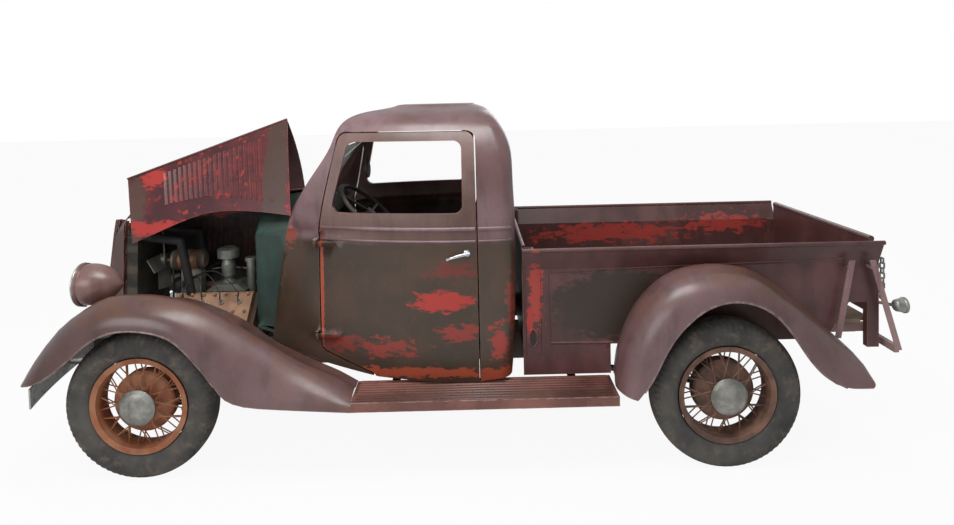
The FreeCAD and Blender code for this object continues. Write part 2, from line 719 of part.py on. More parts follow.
wishbone_ball = at(ball_station, 0, s.crank_level - s.gearbox_radius - s.radius_rod * 2 - s.seam)
stays = [ball("wishbone_ball", wishbone_ball, "radius_rod * 2")]
for side in (-1, 1):
    foot = at(s.beam_width / 4, side * s.beam_drop, s.beam_high - s.beam_flange * 0.8)
    stays.append(rod("wishbone", foot, wishbone_ball, "radius_rod"))
joined("front_axle", axle, *stays)

# Rear axle: banjo housing, tubes, backing plates, torque tube and radius rods

rear_beam = new_body("rear_beam")
plate_out = "track_rear / 2 - drum_depth - backing_gap"
turn(rear_beam, "XY", "V_Axis", [
    ("0", "-track_rear / 2 - spindle_reach"),
    ("spindle_radius", "-track_rear / 2 - spindle_reach"),
    ("spindle_radius", f"-({plate_out})"),
    ("backing_radius", f"-({plate_out})"),
    ("backing_radius", f"-({plate_out} - backing_plate)"),
    ("axle_tube", f"-({plate_out} - backing_plate)"),
    ("axle_tube", "-banjo_half * 2"),
    ("banjo_radius", "-banjo_half / 3"),
    ("banjo_radius", "banjo_half / 3"),
    ("axle_tube", "banjo_half * 2"),
    ("axle_tube", f"{plate_out} - backing_plate"),
    ("backing_radius", f"{plate_out} - backing_plate"),
    ("backing_radius", plate_out),
    ("spindle_radius", plate_out),
    ("spindle_radius", "track_rear / 2 + spindle_reach"),
    ("0", "track_rear / 2 + spindle_reach"),
])
place(rear_beam, REAR, "0", "tyre_radius")
hub = Vector(rear_axle, 0, s.tyre_radius)
joint_ball = at(ball_station + s.overrun * 3, 0, s.crank_level)
stays = [rod("torque_tube", hub, joint_ball, "torque_radius")]
for side in (-1, 1):
    foot = Vector(rear_axle, side * s.rear_leaf_reach * 1.05, s.tyre_radius - s.axle_tube * 0.8)
    stays.append(rod("rear_radius_rod", foot, part_way(joint_ball, hub, 0.12), "radius_rod"))
joined("rear_axle", rear_beam, *stays)

# Transverse springs, each a bowed leaf pack with shackles down to its axle


def spring(name, station, reach, seat, eye):
    """A bowed pack, thick under the cross member and thin at its eyes."""
    pack = new_body(name)
    pad(pack, "YZ", f"{station} - leaf_width / 2", f"{station} + leaf_width / 2", [
        (f"-{reach}", eye),
        (reach, eye, "0", seat),
        (reach, f"{eye} - leaf_tip"),
        (f"-{reach}", f"{eye} - leaf_tip", "0", f"{seat} - leaf_pack"),
    ])
    return pack


front_eye = "beam_high + leaf_tip * 4"
rear_eye = "tyre_radius + axle_tube + leaf_tip * 2"
front_spring = spring("front_spring", FRONT, "front_leaf_reach", "rail_front_low - seam", front_eye)
rear_spring = spring("rear_spring", REAR, "rear_leaf_reach", "rail_rear_low - seam", rear_eye)
beam_rise = "(eye_high - beam_flange / 2 - beam_high) / (kingpin_reach - kingpin_boss / 2 - beam_drop)"
front_foot = f"beam_high + {beam_rise} * (front_leaf_reach + shackle_width / 2 - beam_drop) + seam"
shackles = []
for name, station, reach, eye, foot in (
        ("front_shackle", FRONT, "front_leaf_reach", front_eye, front_foot),
        ("rear_shackle", REAR, "rear_leaf_reach", rear_eye, "tyre_radius + axle_tube + seam")):
    for side in ("-", ""):
        shackle = new_body(name)
        edge = f"{side}{reach}"
        wide = "shackle_width / 2"
        pad(shackle, "YZ", f"{station} - leaf_width / 2", f"{station} + leaf_width / 2",
            corners(f"{edge} - {wide}", foot, f"{edge} + {wide}", f"{eye} - leaf_tip / 2"))
        shackles.append(shackle)
joined("leaf_springs", front_spring, rear_spring, *shackles)

# Frame: two C rails kicked up over the axles, cross members and an X brace

RAIL_STATIONS = [
    (f"{FRONT} - rail_front", "rail_front_low + rail_flange / 2", "rail_tip_depth"),
    (f"{FRONT} - cross_width", "rail_front_low", "rail_depth * 0.8"),
    (f"{FRONT} + cross_width * 2", "rail_front_low - rail_flange / 4", "rail_depth * 0.86"),
    (f"{FRONT} + brace_front", "rail_low", "rail_depth"),
    (f"{REAR} - kick_far", "rail_low", "rail_depth"),
    (f"{REAR} - kick_near", "rail_rear_low", "rail_depth * 0.76"),
    (f"{REAR} + kick_near", "rail_rear_low", "rail_depth * 0.76"),
    (f"{REAR} + rail_rear", "rail_rear_low", "rail_tip_depth"),
]


def rail_outline(inset, run_out):
    """A rail seen from the side, its edges drawn in by the inset and its ends run out."""
    last = len(RAIL_STATIONS) - 1
    shifts = {0: f" - ({run_out})", last: f" + ({run_out})"}
    under = [(x + shifts.get(i, ""), f"{low} + {inset}")
             for i, (x, low, depth) in enumerate(RAIL_STATIONS)]
    over = [(x + shifts.get(i, ""), f"{low} + {depth} - {inset}")
            for i, (x, low, depth) in enumerate(RAIL_STATIONS)]
    return under + over[::-1]


frame = new_body("frame_body")
for side in (-1, 1):
    outer = "-rail_reach" if side < 0 else "rail_reach - rail_flange"
    inner = "-rail_reach + rail_flange" if side < 0 else "rail_reach"
    pad(frame, "XZ", outer, inner, rail_outline("0", "0"))
    low = "-rail_reach + rail_wall" if side < 0 else "rail_reach - rail_flange - overrun"
    high = "-rail_reach + rail_flange + overrun" if side < 0 else "rail_reach - rail_wall"
    pocket(frame, "XZ", low, high, rail_outline("rail_wall", "overrun"))
span = "rail_reach - rail_wall"
front_cross = "rail_front_low + rail_depth * 0.3"
for x, low, high in (
        (f"{FRONT} - cross_width / 2", "rail_front_low", front_cross),
        (f"{REAR} - cross_width / 2", "rail_rear_low", "rail_rear_low + rail_depth * 0.6"),
        (f"{REAR} + rail_rear - cross_width", "rail_rear_low", "rail_rear_low + rail_tip_depth")):
    pad(frame, "XZ", f"-({span})", span, corners(x, low, f"{x} + cross_width", high))
for way in (1, -1):
    reach = f"({span} - brace_width / 2)"
    tips = [(f"{FRONT} + brace_front", f"{-way} * {reach}"), (f"{FRONT} + brace_rear", f"{way} * {reach}")]
    for low, high, half in (("brace_low", "brace_low + brace_wall", "brace_width / 2"),
                            ("brace_low", "rail_low + rail_depth - rail_wall", "brace_wall / 2"),
                            ("rail_low + rail_depth - rail_wall - brace_wall",
                             "rail_low + rail_depth - rail_wall", "brace_width / 2")):
        pad(frame, "XY", low, high, [
            (tips[0][0], f"{tips[0][1]} - {half}"), (tips[1][0], f"{tips[1][1]} - {half}"),
            (tips[1][0], f"{tips[1][1]} + {half}"), (tips[0][0], f"{tips[0][1]} + {half}")])
keep(frame, "frame_rails")

# Steering: knuckles, tie rod, drag link, pitman arm, box, column and wheel

yoke_low = "(eye_low - yoke_gap - yoke_plate)"
yoke_high = "(eye_high + yoke_gap + yoke_plate)"
front_plate = "(track_front / 2 - drum_depth - backing_gap)"
arm_top = "(arm_low + arm_plate)"


def knuckle_body(name, side):
    """The forged knuckle of one side: yoke, kingpin, upright, backing plate, spindle and arm."""
    body = new_body(name)
    pin = f"{side} * kingpin_reach"
    near = f"{side} * (kingpin_reach - kingpin_boss * 0.6)"
    far = f"{side} * ({front_plate} - backing_plate)"
    low_y, high_y = (far, near) if side == "-1" else (near, far)
    half = "kingpin_boss"
    for low, high in ((yoke_low, f"{yoke_low} + yoke_plate"), (f"{yoke_high} - yoke_plate", yoke_high)):
        pad(body, "XY", low, high, corners(f"{FRONT} - {half}", low_y, f"{FRONT} + {half}", high_y))
    wall = f"{side} * (kingpin_reach + kingpin_boss + yoke_gap * 3)"
    low_y, high_y = (far, wall) if side == "-1" else (wall, far)
    pad(body, "XY", yoke_low, yoke_high, corners(f"{FRONT} - {half}", low_y, f"{FRONT} + {half}", high_y))
    pad(body, "XY", yoke_low, yoke_high, (FRONT, pin, "kingpin_radius"))
    out = f"{side} * {front_plate}"
    low_y, high_y = (out, far) if side == "-1" else (far, out)
    pad(body, "XZ", low_y, high_y, (FRONT, "tyre_radius", "backing_radius"))
    tip = f"{side} * (track_front / 2 + spindle_reach)"
    low_y, high_y = (tip, far) if side == "-1" else (far, tip)
    pad(body, "XZ", low_y, high_y, (FRONT, "tyre_radius", "spindle_radius"))
    pad(body, "XY", "arm_low", f"{yoke_low} + yoke_gap", [
        (FRONT, f"{pin} - {half} * 0.8"), (f"{FRONT} + steering_arm", f"{pin} - {half} * 0.6"),
        (f"{FRONT} + steering_arm", f"{pin} + {half} * 0.6", f"{FRONT} + steering_arm + {half} * 0.6", pin),
        (FRONT, f"{pin} + {half} * 0.8")])
    return body


left_knuckle = knuckle_body("left_knuckle", "-1")
link_y = "(-kingpin_reach + drag_arm)"
pad(left_knuckle, "XY", f"{yoke_high} - yoke_gap", f"{yoke_high} + arm_plate", [
    (f"{FRONT} - kingpin_boss * 0.8", "-kingpin_reach"),
    (f"{FRONT} - kingpin_boss * 0.5", link_y),
    (f"{FRONT} + kingpin_boss * 0.5", link_y, FRONT, f"{link_y} + kingpin_boss * 0.5"),
    (f"{FRONT} + kingpin_boss * 0.8", "-kingpin_reach")])
keep(left_knuckle, "knuckle_left")
keep(knuckle_body("right_knuckle", "1"), "knuckle_right")

tie_left = at(s.steering_arm, -s.kingpin_reach, s.rod_level)
tie_right = at(s.steering_arm, s.kingpin_reach, s.rod_level)
studs = [rod("tie_stud", end, Vector(end.x, end.y, s.arm_low - s.seam), "stud_radius")
         for end in (tie_left, tie_right)]
joined("tie_rod", rod("tie_bar", tie_left, tie_right, "rod_radius"),
       ball("tie_socket_left", tie_left, "ball_radius"),
       ball("tie_socket_right", tie_right, "ball_radius"), *studs)

link_front = at(0, worth(link_y), worth(f"{yoke_high} + arm_plate + ball_radius * 1.4"))
link_rear = at(s.box_station, worth(link_y), s.box_level - s.pitman_length)
link_stud = rod("drag_stud", link_front, at(0, link_front.y, worth(f"{yoke_high} + arm_plate + seam")),
                "stud_radius")
joined("drag_link", rod("drag_bar", link_front, link_rear, "rod_radius"), link_stud,
       ball("drag_socket_front", link_front, "ball_radius"),
       ball("drag_socket_rear", link_rear, "ball_radius"))

pitman = new_body("pitman")
shaft_x = f"{FRONT} + box_station"
pitman_near = "-rail_reach - seam"
pitman_far = f"{pitman_near} - pitman_plate"
eye = "ball_radius * 0.8"
foot = "box_level - pitman_length"
pad(pitman, "XZ", pitman_far, pitman_near, [
    (f"{shaft_x} - {eye}", "box_level", shaft_x, f"box_level + {eye}"),
    (f"{shaft_x} - {eye} * 0.8", foot),
    (f"{shaft_x} + {eye} * 0.8", foot, shaft_x, f"{foot} - {eye} * 0.8"),
    (f"{shaft_x} + {eye}", "box_level")])
keep(pitman, "pitman_arm")

wheel_middle = at(s.wheel_station, -s.driver_reach, s.wheel_level)
box_middle = at(s.box_station, -s.rail_reach + s.rail_flange + s.box_size / 2, s.box_level)
column_run = wheel_middle - box_middle
column_run.normalize()
box = new_body("steering_box")
pad(box, "XZ", "-rail_reach + rail_wall + seam", "-rail_reach + rail_flange + box_size", [
    (f"{shaft_x} - box_size / 2", "box_level - box_size / 3"),
    (f"{shaft_x} + box_size / 3", "box_level - box_size / 3"),
    (f"{shaft_x} + box_size / 2", "box_level"),
    (f"{shaft_x} + box_size / 2", "box_level + box_size / 3"),
    (f"{shaft_x} - box_size / 3", "box_level + box_size / 3")])
column_top = wheel_middle - column_run * s.steering_rim * 4
joined("steering_column", box, rod("column_tube", box_middle, column_top, "column_radius"))

tilt = Rotation(Vector(0, 0, 1), column_run)
rim_ring = doc.addObject("Part::Torus", "steering_rim")
rim_ring.setExpression("Radius1", linked("steering_radius"))
rim_ring.setExpression("Radius2", linked("steering_rim"))
rim_ring.Placement = Placement(wheel_middle, tilt)
wheel_hub = rod("steering_hub", wheel_middle - column_run * (s.steering_rim * 4 - s.seam),
                wheel_middle + column_run * s.steering_rim * 0.8, "column_radius * 1.3")
arms = []
for turn_by in (90, 210, 330):
    out = tilt.multVec(Vector(math.cos(math.radians(turn_by)), math.sin(math.radians(turn_by)), 0))
    arms.append(rod("steering_spoke", wheel_middle, wheel_middle + out * s.steering_radius,
                    "steering_rim * 0.6"))
joined("steering_wheel", rim_ring, wheel_hub, *arms)

# Engine: V block, heads, intake, generator, bell housing and gearbox

engine_rear = f"({FRONT} + engine_front + engine_length)"
block = new_body("block")
deck = "cos(45)"
pad(block, "YZ", f"{FRONT} + engine_front", engine_rear, [
    ("-pan_half", "pan_low"), ("pan_half", "pan_low"), ("pan_half", "crank_level - pan_half / 4"),
    ("pan_half * 1.3", "crank_level"),
    (f"(deck_reach + deck_half) * {deck}", f"crank_level + (deck_reach - deck_half) * {deck}"),
    (f"(deck_reach - deck_half) * {deck}", f"crank_level + (deck_reach + deck_half) * {deck}"),
    ("0", "manifold_low"),
    (f"-(deck_reach - deck_half) * {deck}", f"crank_level + (deck_reach + deck_half) * {deck}"),
    (f"-(deck_reach + deck_half) * {deck}", f"crank_level + (deck_reach - deck_half) * {deck}"),
    ("-pan_half * 1.3", "crank_level"), ("-pan_half", "crank_level - pan_half / 4")])
pocket(block, "XZ", "-deck_reach - overrun", "deck_reach + overrun", corners(
    f"{FRONT} - cross_width / 2 - overrun / 2", "pan_low - overrun",
    f"{FRONT} + cross_width / 2 + overrun / 2", f"{front_cross} + seam"))
keep(block, "engine_block")

heads = []
for side in ("", "-"):
    head = new_body("head")
    ring = []
    for reach, half in (("deck_reach + seam", "-head_half"), ("deck_reach + seam", "head_half"),
                        ("deck_reach + head_thick * 0.7", "head_half"),
                        ("deck_reach + head_thick", "head_half * 0.86"),
                        ("deck_reach + head_thick", "-head_half * 0.86"),
                        ("deck_reach + head_thick * 0.7", "-head_half")):
        ring.append((f"{side}({reach} + ({half})) * {deck}", f"crank_level + ({reach} - ({half})) * {deck}"))
    pad(head, "YZ", f"{FRONT} + head_front", f"{FRONT} + head_front + head_length", ring)
    heads.append(head)
joined("engine_heads", *heads)

intake = new_body("intake")
pad(intake, "XZ", "-manifold_half", "manifold_half", [
    (f"{FRONT} + manifold_front", "manifold_low + manifold_half + seam"),
    (f"{FRONT} + manifold_front + manifold_length", "manifold_low + manifold_half + seam"),
    (f"{FRONT} + manifold_front + manifold_length * 0.8", "manifold_high"),
    (f"{FRONT} + manifold_front + manifold_length * 0.2", "manifold_high")])
carburettor = new_body("carburettor")
turn(carburettor, "XZ", "V_Axis", [
    ("0", "manifold_high - seam * 2"), ("carburettor_radius * 1.1", "manifold_high - seam * 2"),
    ("carburettor_radius * 0.6", "manifold_high + carburettor_radius / 2"),
    ("carburettor_radius", "manifold_high + carburettor_radius"),
    ("carburettor_radius", "carburettor_high - carburettor_radius"),
    ("carburettor_radius * 0.7", "carburettor_high"),
    ("filter_radius", "carburettor_high"),
    ("filter_radius", "carburettor_high + filter_depth * 0.8"),
    ("filter_radius * 0.7", "carburettor_high + filter_depth"),
    ("0", "carburettor_high + filter_depth")])
place(carburettor, f"{FRONT} + carburettor_station", "0", "0")
generator = new_body("generator")
turn(generator, "XZ", "H_Axis", [
    ("0", "0"), ("0", "generator_radius * 0.5"), ("generator_radius * 0.2", "generator_radius * 0.9"),
    ("generator_radius * 0.4", "generator_radius"),
    ("generator_length - generator_radius * 0.3", "generator_radius"),
    ("generator_length", "generator_radius * 0.7"), ("generator_length", "0")])
place(generator, f"{FRONT} + generator_front", "0", "generator_level")
cradle = new_body("generator_cradle")
pad(cradle, "YZ", f"{FRONT} + engine_front + seam * 10", f"{FRONT} + generator_front + generator_length * 0.9", [
    ("-generator_radius * 0.7", "manifold_low + generator_radius"),
    ("generator_radius * 0.7", "manifold_low + generator_radius"),
    ("generator_radius * 0.5", "generator_level - generator_radius / 2"),
    ("-generator_radius * 0.5", "generator_level - generator_radius / 2")])
filler_top = at(s.filler_station, 0, s.filler_high)
filler = rod("filler_pipe", at(s.filler_station, 0, s.manifold_low + s.filler_radius * 0.82 + s.seam), filler_top, "filler_radius")
filler_cap = rod("filler_cap", filler_top, filler_top + Vector(0, 0, s.filler_radius * 0.8),
                 "filler_radius * 1.3")
joined("engine_top", intake, carburettor, generator, cradle, filler, filler_cap)

bell = rod("bell", at(s.engine_front + s.engine_length + s.seam, 0, s.crank_level),
           at(s.engine_front + s.engine_length + s.bell_length * 0.6, 0, s.crank_level), "bell_radius")
cone = doc.addObject("Part::Cone", "bell_cone")
cone.setExpression("Radius1", linked("bell_radius"))
cone.setExpression("Radius2", linked("gearbox_radius"))
cone.setExpression("Height", linked("bell_length * 0.4"))
cone.Placement = Placement(at(s.engine_front + s.engine_length + s.bell_length * 0.6, 0, s.crank_level),
                           Rotation(Vector(0, 1, 0), 90))
case = rod("gear_case", at(s.engine_front + s.engine_length + s.bell_length, 0, s.crank_level),
           at(ball_station, 0, s.crank_level), "gearbox_radius")
lever_foot = at(s.lever_station, 0, s.crank_level + s.gearbox_radius * 0.9)
lever_top = at(s.lever_station + s.gearbox_radius, 0, s.lever_high)
joined("gearbox", bell, cone, case, ball("torque_ball", at(ball_station, 0, s.crank_level), "torque_radius * 1.6"),
       rod("shift_lever", lever_foot, lever_top, "lever_radius"),
       ball("shift_knob", lever_top, "lever_radius * 2.6"))

fan_middle = at(s.fan_station, 0, s.generator_level)
fan_hub = rod("fan_hub", fan_middle - Vector(s.blade_width / 4, 0, 0),
              fan_middle + Vector(s.blade_width / 4, 0, 0), "fan_hub")
fan_shaft = rod("fan_shaft", fan_middle, at(s.generator_front - s.seam, 0, s.generator_level), "fan_shaft")
blades = []
for quarter in range(4):
    blade = doc.addObject("Part::Box", "fan_blade")
    blade.setExpression("Length", linked("blade_thick"))
    blade.setExpression("Width", linked("blade_width"))
    blade.setExpression("Height", linked("fan_radius"))
    pitch = Rotation(Vector(0, 0, 1), s.blade_pitch)
    spin = Rotation(Vector(1, 0, 0), 90 * quarter)
    corner = spin.multiply(pitch).multVec(Vector(-s.blade_thick / 2, -s.blade_width / 2, 0))
    blade.Placement = Placement(fan_middle + corner, spin.multiply(pitch))
    blades.append(blade)
joined("fan", fan_hub, fan_shaft, *blades)

core = new_body("core")
core_rear = f"{FRONT} + core_front + core_depth"
pad(core, "YZ", f"{FRONT} + core_front", core_rear, [
    ("-core_half", "core_low"), ("core_half", "core_low"), ("core_top_half", "core_high - core_depth"),
    ("core_top_half * 0.7", "core_high"), ("-core_top_half * 0.7", "core_high"),
    ("-core_top_half", "core_high - core_depth")])
hoses = []
for side in (-1, 1):
    top = at(s.core_front + s.core_depth, side * s.hose_reach * 0.8, s.core_high - s.core_depth)
    elbow = at(s.head_front + s.hose_radius, side * s.hose_reach, s.core_high - s.core_depth * 1.4)
    foot = at(s.head_front + s.hose_radius * 3, side * s.hose_reach,
              worth(f"crank_level + (deck_reach + head_thick * 0.7 + head_half) * {deck} + hose_radius / 8 + seam"))
    hoses += [rod("top_hose", top, elbow, "hose_radius"), ball("hose_bend", elbow, "hose_radius"),
              rod("top_hose", elbow, foot, "hose_radius")]
legs = []
for side in ("-", ""):
    leg = new_body("core_foot")
    pad(leg, "XY", "rail_front_low + rail_tip_depth * 1.3", "core_low",
        corners(f"{FRONT} + core_front", f"{side}(rail_reach - rail_flange)", core_rear, f"{side}core_half * 0.8"))
    legs.append(leg)
joined("radiator", core, *hoses, *legs)

# Radiator shell and grille


def arch_wire(station_at, foot_half, foot, half, shoulder, crown, inset):
    """A closed arch of foot corners, shoulders and a crown, its stations given by height."""
    spots = []
    for y, z in ((-foot_half + inset, foot), (-half + inset, shoulder - inset / 2), (0, crown - inset),
                 (half - inset, shoulder - inset / 2), (foot_half - inset, foot)):
        spots.append(at(station_at(z), y, z))
    left_foot, left, top, right, right_foot = spots
    return Part.Wire([
        Part.makeLine(left_foot, left), Part.Arc(left, top, right).toShape(),
        Part.makeLine(right, right_foot), Part.makeLine(right_foot, left_foot)])


def nose_station(height):
    """The grille's ridge leans back as it rises."""
    share = (height - s.shell_foot) / (s.shell_crown - s.shell_foot)
    return part_way(s.nose_foot, s.nose_top, share)


def arch_strip(station_at, foot_half, foot, half, shoulder, crown):
    """The outline of the sheet round an arch: its outer edge, then its inner edge a wall further in."""
    wall = s.shell_wall
    outer = ((-foot_half, foot), (-half, shoulder), (0, crown), (half, shoulder), (foot_half, foot))
    inner = ((wall - foot_half, foot), (wall - half, shoulder - wall / 2), (0, crown - wall),
             (half - wall, shoulder - wall / 2), (foot_half - wall, foot))
    rims = [[at(station_at(z), y, z) for y, z in spots] for spots in (outer, inner)]
    edges = [Part.makeLine(rims[0][0], rims[1][0]), Part.makeLine(rims[0][4], rims[1][4])]
    for left_foot, left, crest, right, right_foot in rims:
        edges += [Part.makeLine(left_foot, left), Part.Arc(left, crest, right).toShape(),
                  Part.makeLine(right, right_foot)]
    return Part.Wire(Part.__sortEdges__(edges))


shell_front = arch_strip(lambda z: nose_station(z) + s.grille_set, s.shell_foot_half * s.nose_share, s.shell_foot,
                         s.shell_half * s.nose_share, s.shell_shoulder - s.shell_drop, s.shell_crown - s.shell_drop)
shell_rear = arch_strip(lambda z: s.shell_rear, s.shell_foot_half, s.shell_foot, s.shell_half, s.shell_shoulder,
                        s.shell_crown)
shell_sheet = Part.makeLoft([shell_front, shell_rear], True, True)
formed("radiator_shell", shell_sheet)


def ridge_point(y, height):
    """A point on the V of the grille: its ridge in the middle, its sides set back."""
    half = s.shell_half * s.nose_share
    return at(nose_station(height) + s.grille_set * min(1, abs(y) / half) - s.grille_bar, y, height)


def grille_top(y):
    """The height of the arch over a bar."""
    half = s.shell_half * s.nose_share - s.shell_wall
    rise = s.shell_crown - s.shell_shoulder
    share = min(1, abs(y) / half)
    return s.shell_crown - s.shell_drop - s.shell_wall * 2 - rise * share ** 2


def square_bar(start, end, wide, deep):
    """A bar of rectangular section standing between two points, wide in Y and deep in X."""
    run = end - start
    ring = [start + Vector(x, y, 0) for x, y in ((-deep / 2, -wide / 2), (deep / 2, -wide / 2),
                                                (deep / 2, wide / 2), (-deep / 2, wide / 2))]
    return prism(ring, run)


bars = []
grille_half = s.shell_half * s.nose_share - s.shell_wall - s.grille_bar
count = int(grille_half // s.grille_pitch)
for index in range(-count, count + 1):
    y = index * s.grille_pitch
    foot = ridge_point(y, s.shell_foot + s.grille_bar)
    top = ridge_point(y, grille_top(y))
    bars.append(square_bar(foot, top, s.grille_bar, s.grille_bar * 2.4))
for share in (0, 0.33, 0.66, 0.9):
    height = part_way(s.shell_foot + s.grille_bar * 1.5, grille_top(grille_half), share)
    middle = ridge_point(0, height) + Vector(s.grille_bar, 0, 0)
    for side in (-1, 1):
        end = ridge_point(side * grille_half, height) + Vector(s.grille_bar, 0, 0)
        ring = [middle + Vector(0, 0, -s.grille_bar / 2), middle + Vector(s.grille_bar, 0, -s.grille_bar / 2),
                middle + Vector(s.grille_bar, 0, s.grille_bar / 2), middle + Vector(0, 0, s.grille_bar / 2)]
        bars.append(prism(ring, end - middle))
formed("grille", bars[0].multiFuse(bars[1:]))

# Hood: two tops hinged on the middle line and two sides hinged on the shoulders

HOOD_FOOT_SHARES = ((0, 0.72), (0.15, 0.70), (0.3, 0.68), (0.45, 0.68), (0.6, 0.73), (0.75, 0.82),
                    (0.88, 0.91), (1, 1))


def along_hood(front, rear, share):
    """A value part way from the shell's edge to the cowl's."""
    return part_way(front, rear, share)


def hood_foot(share):
    """Height of the hood side's foot, arched over the fender."""
    for (low, low_share), (high, high_share) in zip(HOOD_FOOT_SHARES, HOOD_FOOT_SHARES[1:]):
        if share <= high:
            drop = part_way(low_share, high_share, (share - low) / (high - low))
            return along_hood(s.shell_shoulder, s.cowl_shoulder, share) - drop * (s.cowl_shoulder - s.cowl_foot)
    return s.cowl_foot


def hood_top_point(share, across):
    """A point of the closed right top: across is 0 at the middle line and 1 at the shoulder."""
    half = along_hood(s.shell_half, s.cowl_half, share)
    crown = along_hood(s.shell_crown, s.cowl_crown, share) - s.seam * 3
    shoulder = along_hood(s.shell_shoulder, s.cowl_shoulder, share)
    near = s.hinge_radius + s.seat_gap
    station = part_way(s.shell_rear + s.moving_gap, s.cowl_seam - s.moving_gap, share)
    height = crown + (shoulder - crown) * across ** 2
    return at(station, part_way(near, half, across), height)


def hood_side_point(share, down):
    """A point of the closed right side: down is 0 at the shoulder and 1 at the foot."""
    shoulder = along_hood(s.shell_shoulder, s.cowl_shoulder, share) - s.hinge_radius - s.seat_gap
    foot = hood_foot(share) + s.moving_gap
    depth = (shoulder - part_way(shoulder, foot, down)) / (s.cowl_shoulder - s.cowl_foot)
    rear = s.cowl_seam - s.cowl_lean * depth
    station = part_way(s.shell_rear + s.moving_gap, rear - s.moving_gap, share)
    half = part_way(along_hood(s.shell_half, s.cowl_half, share),
                    along_hood(s.shell_foot_half, s.cowl_foot_half, share), depth)
    bow = s.hood_bulge * 0.5 * math.sin(math.pi * depth)
    return at(station, half + bow, part_way(shoulder, foot, down))


GRID_SHARES = (0, 0.15, 0.3, 0.45, 0.6, 0.75, 0.88, 1)
CROSS_SHARES = (0, 0.25, 0.5, 0.75, 1)
top_rows = [[hood_top_point(share, across) for across in CROSS_SHARES] for share in GRID_SHARES]
side_rows = [[hood_side_point(share, down) for down in CROSS_SHARES] for share in GRID_SHARES]
hood_top = pressed_sheet(top_rows, -s.hood_plate)
hood_side = pressed_sheet(side_rows, -s.hood_plate)


def louvre(share):
    """One upright louvre of the closed right side: a three-sided blade standing out of the sheet."""
    start = hood_side_point(share, s.louvre_top_share)
    end = hood_side_point(share, part_way(s.louvre_front_share, s.louvre_rear_share, share))
    run = end - start
    outward = Vector(0, 1, 0)
    along = outward.cross(run)
    along.normalize()
    ring = [start - outward * s.hood_plate / 2 - along * s.louvre_width / 2,
            start - outward * s.hood_plate / 2 + along * s.louvre_width / 2,
            start + outward * s.louvre_rise + along * s.louvre_width * 0.35]
    return prism(ring, run)


louvre_shares = [part_way(s.louvre_first_share, s.louvre_last_share, index / (s.louvre_count - 1))
                 for index in range(int(s.louvre_count))]
hood_side = hood_side.multiFuse([louvre(share) for share in louvre_shares])

middle_hinge = (at(s.shell_rear, 0, s.shell_crown), at(s.cowl_seam, 0, s.cowl_crown))
shoulder_hinge = (at(s.shell_rear, s.shell_half, s.shell_shoulder),
                  at(s.cowl_seam, s.cowl_half, s.cowl_shoulder))


def round_bar(start, end, radius):
    """A round bar as a plain shape."""
    return Part.makeCylinder(radius, (end - start).Length, start, end - start)


barrel_run = shoulder_hinge[1] - shoulder_hinge[0]
barrel_run.normalize()
barrel = round_bar(shoulder_hinge[0] + barrel_run * s.moving_gap, shoulder_hinge[1] - barrel_run * s.moving_gap,
                   s.hinge_radius)
hood_top = hood_top.fuse(barrel)


def turned_about(shape, hinge, degrees):
    """A copy of a shape turned about a hinge line."""
    copy = shape.copy()
    copy.rotate(hinge[0], hinge[1] - hinge[0], degrees)
    return copy


def other_side(shape):
    """The mirrored shape on the truck's left."""
    return shape.mirror(Vector(), Vector(0, 1, 0))


left_shoulder = [Vector(point.x, -point.y, point.z) for point in shoulder_hinge]
formed("hood_top_right", hood_top)
formed("hood_side_right", hood_side)
formed("hood_top_left", turned_about(other_side(hood_top), middle_hinge, -s.hood_open))
folded = turned_about(other_side(hood_side), left_shoulder, s.hood_fold)
formed("hood_side_left", turned_about(folded, middle_hinge, -s.hood_open))
keep(rod("hood_hinge", middle_hinge[0] + Vector(s.seam, 0, 0), middle_hinge[1] - Vector(s.seat_gap, 0, 0),
         "hinge_radius"), "hood_hinge")

# Cab: a hollow body lofted through plan outlines, with its doors cut out of the same walls


def side_half(section, station):
    """Half the width of a plan outline at a station along its bowed side."""
    height, front, front_half, middle_half, rear, rear_half = section
    share = (station - front) / (rear - s.cab_corner - front)
    bow = 2 * middle_half - (front_half + rear_half) / 2
    return (1 - share) ** 2 * front_half + 2 * share * (1 - share) * bow + share ** 2 * rear_half


